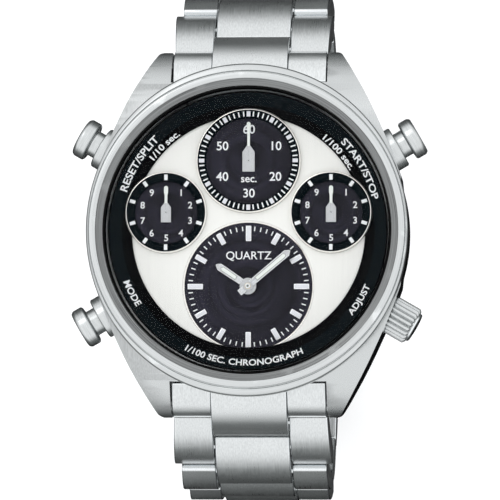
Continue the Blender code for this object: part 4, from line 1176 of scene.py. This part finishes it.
def make_cover():
    """The outer shell, open at its far end, with holes in its walls for the buttons."""
    y, z, radius = COVER_HINGE
    low, high = COVER_Z
    edge, end, lip = COVER_EDGE_Z, COVER_END, COVER_END + COVER_LIP
    over = [(2.6, 1.6), (2.9, 2.0), (3.4, 2.28), (4.2, high), (end - 2.0, high), (end, high - 0.12)]
    over += [(end + 1.8, high - 0.45), (lip, 1.4)]
    section = [(2.6, edge + 0.5), *over, (lip, edge + 0.5), (lip - 0.7, edge), (3.2, edge)]
    room = COVER_HALF_WIDTH - COVER_WALL
    half, inner = BLADE_HALF_WIDTH, KNUCKLE_HALF + 0.3
    cuts = [block((-room, 0, -4), (room, end + 8, low)), block((-room, end, -4), (room, end + 8, 4))]
    cuts.append(block((-inner, 0, 0), (inner, y + 1.6, 4)))
    cuts.append(rod(BUTTON_RADIUS + 0.1, -20, 20, BUTTON_Y, BUTTON_Z))
    shell = combined(bar(section, -COVER_HALF_WIDTH, COVER_HALF_WIDTH), cuts, "DIFFERENCE")
    parts = [bevelled(shell, 0.16, 40, 3, 1), twin_rods(radius, inner, half, y, z)]
    parts.append(twin_slabs(inner, half, (y - 0.4, z), (y + 0.4, low + 0.2), 0.06))
    steel_piece("clasp_cover_shell", parts, "clasp_cover", clasp_place(), "clasp_cover")


def make_release_buttons():
    (low, high), radius, flange = BUTTON_REACH, BUTTON_RADIUS, BUTTON_FLANGE_RADIUS
    profile = [(0, low), (flange, low), (flange, low + 0.7), (radius, low + 0.7)]
    profile += [(radius, high - 0.2), (radius - 0.2, high), (0, high)]
    for name, side in (("release_button_3", -1), ("release_button_9", 1)):
        button = across(turned(profile, 0.08, COARSE))
        place = clasp_place() @ spot(0, BUTTON_Y, BUTTON_Z) @ half_turn(side)
        piece(f"{name}_cap", button, name, ["turned_steel"], place, [name])


# ---- CAD parts that keep their own mesh ----

KEPT = {
    "solar_cell": "film", "movement_holder": "plastic", "main_plate": "nickel", "circuit_board": "board",
    "rechargeable_cell": "polish", "motor_coils": "copper", "case_back_gasket": "rubber",
    "spring_bar_12": "turned_steel", "spring_bar_6": "turned_steel", "minute_pinion": "brass",
    "hour_wheel": "brass", "motion_wheel": "brass", "setting_wheel": "brass", "winding_stem": "turned_steel",
    "setting_lever": "polish",
}


def finish_kept_parts():
    for name, finish in KEPT.items():
        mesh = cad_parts[name].data
        mesh.materials.clear()
        mesh.materials.append(FINISH[finish])


# ---- Studio ----

def make_stage():
    floor = in_scene("floor", block((-3000, -3000, -5), (3000, 3000, -0.05)))
    floor.data.transform(Matrix.Scale(MM, 4))
    paper = coating("floor_white", (0.9, 0.9, 0.9), 0.8, variety=0.01)
    glow = paper.node_tree.nodes["Principled BSDF"].inputs
    glow["Emission Color"].default_value = (1, 1, 1, 1)
    glow["Emission Strength"].default_value = 0.25
    floor.data.materials.append(paper)
    floor.visible_glossy = False


def make_world():
    """A room that is darkest a little below the horizon and brightest overhead."""
    world = bpy.data.worlds.new("studio")
    bpy.context.scene.world = world
    world.use_nodes = True
    tree = world.node_tree
    direction = node(tree, "TexCoord", {}).outputs["Generated"]
    height = node(tree, "SeparateXYZ", {"Vector": direction}).outputs["Z"]
    level = calculated(tree, "ADD", calculated(tree, "MULTIPLY", height, 0.5), 0.5)
    ramp = node(tree, "ValToRGB", {"Fac": level})
    stops = ramp.color_ramp.elements
    below = stops.new(0.0)
    below.color = (0.27, 0.28, 0.28, 1)
    stops[1].position, stops[1].color = 0.4, (0.17, 0.18, 0.18, 1)
    stops[2].position, stops[2].color = 0.66, (0.95, 0.96, 0.97, 1)
    tree.links.new(ramp.outputs["Color"], tree.nodes["Background"].inputs["Color"])
    tree.nodes["Background"].inputs["Strength"].default_value = 1.3


def softbox(name, place, aim, size, brightness):
    """A square area light of the given radiance, facing its aim point; lengths in metres."""
    lamp = bpy.data.lights.new(name, "AREA")
    lamp.size = size
    lamp.energy = brightness * math.pi * size * size
    holder = in_scene(name, lamp)
    holder.location = place
    holder.rotation_euler = (Vector(aim) - Vector(place)).to_track_quat("-Z", "Y").to_euler()


def make_lights():
    softbox("overhead", (-0.45, 0.55, 1.0), (0, 0, HEAD_HEIGHT * MM), size=0.5, brightness=1.2)


def make_camera():
    """Looks down on the dial from a little below and to the right, through a long lens."""
    towards = Vector((math.sin(VIEW_LEAN[0]), -math.sin(VIEW_LEAN[1]), 0))
    towards.z = math.sqrt(1 - towards.x ** 2 - towards.y ** 2)
    right = Vector((0, 1, 0)).cross(towards).normalized()
    up = towards.cross(right)
    head = Vector((0, 0, HEAD_HEIGHT))
    camera = in_scene("camera", bpy.data.cameras.new("camera"))
    camera.data.sensor_width = 36.0
    camera.data.lens = LENS
    camera.data.clip_start = 0.05
    place = head + towards * VIEW_DISTANCE
    aim = head + right * VIEW_SHIFT[0] + up * VIEW_SHIFT[1]
    back = (place - aim).normalized()
    side = up.cross(back).normalized()
    top = back.cross(side)
    cosine, sine = math.cos(VIEW_ROLL), math.sin(VIEW_ROLL)
    rolled = (cosine * side + sine * top, cosine * top - sine * side, back)
    basis = Matrix(rolled).transposed().to_4x4()
    camera.matrix_world = spot(*(place * MM)) @ basis
    bpy.context.scene.camera = camera


make_case()
make_bezel()
make_crystal()
make_case_back()
make_flange()
make_flange_words()
make_dial()
make_subdials()
make_time_subdial()
make_hands()
make_crown()
make_pushers()
make_bracelet()
make_inner_blade()
make_middle_blade()
make_cover()
make_release_buttons()
finish_kept_parts()
make_stage()
make_world()
make_lights()
make_camera()
bpy.context.scene.view_settings.view_transform = "Standard"
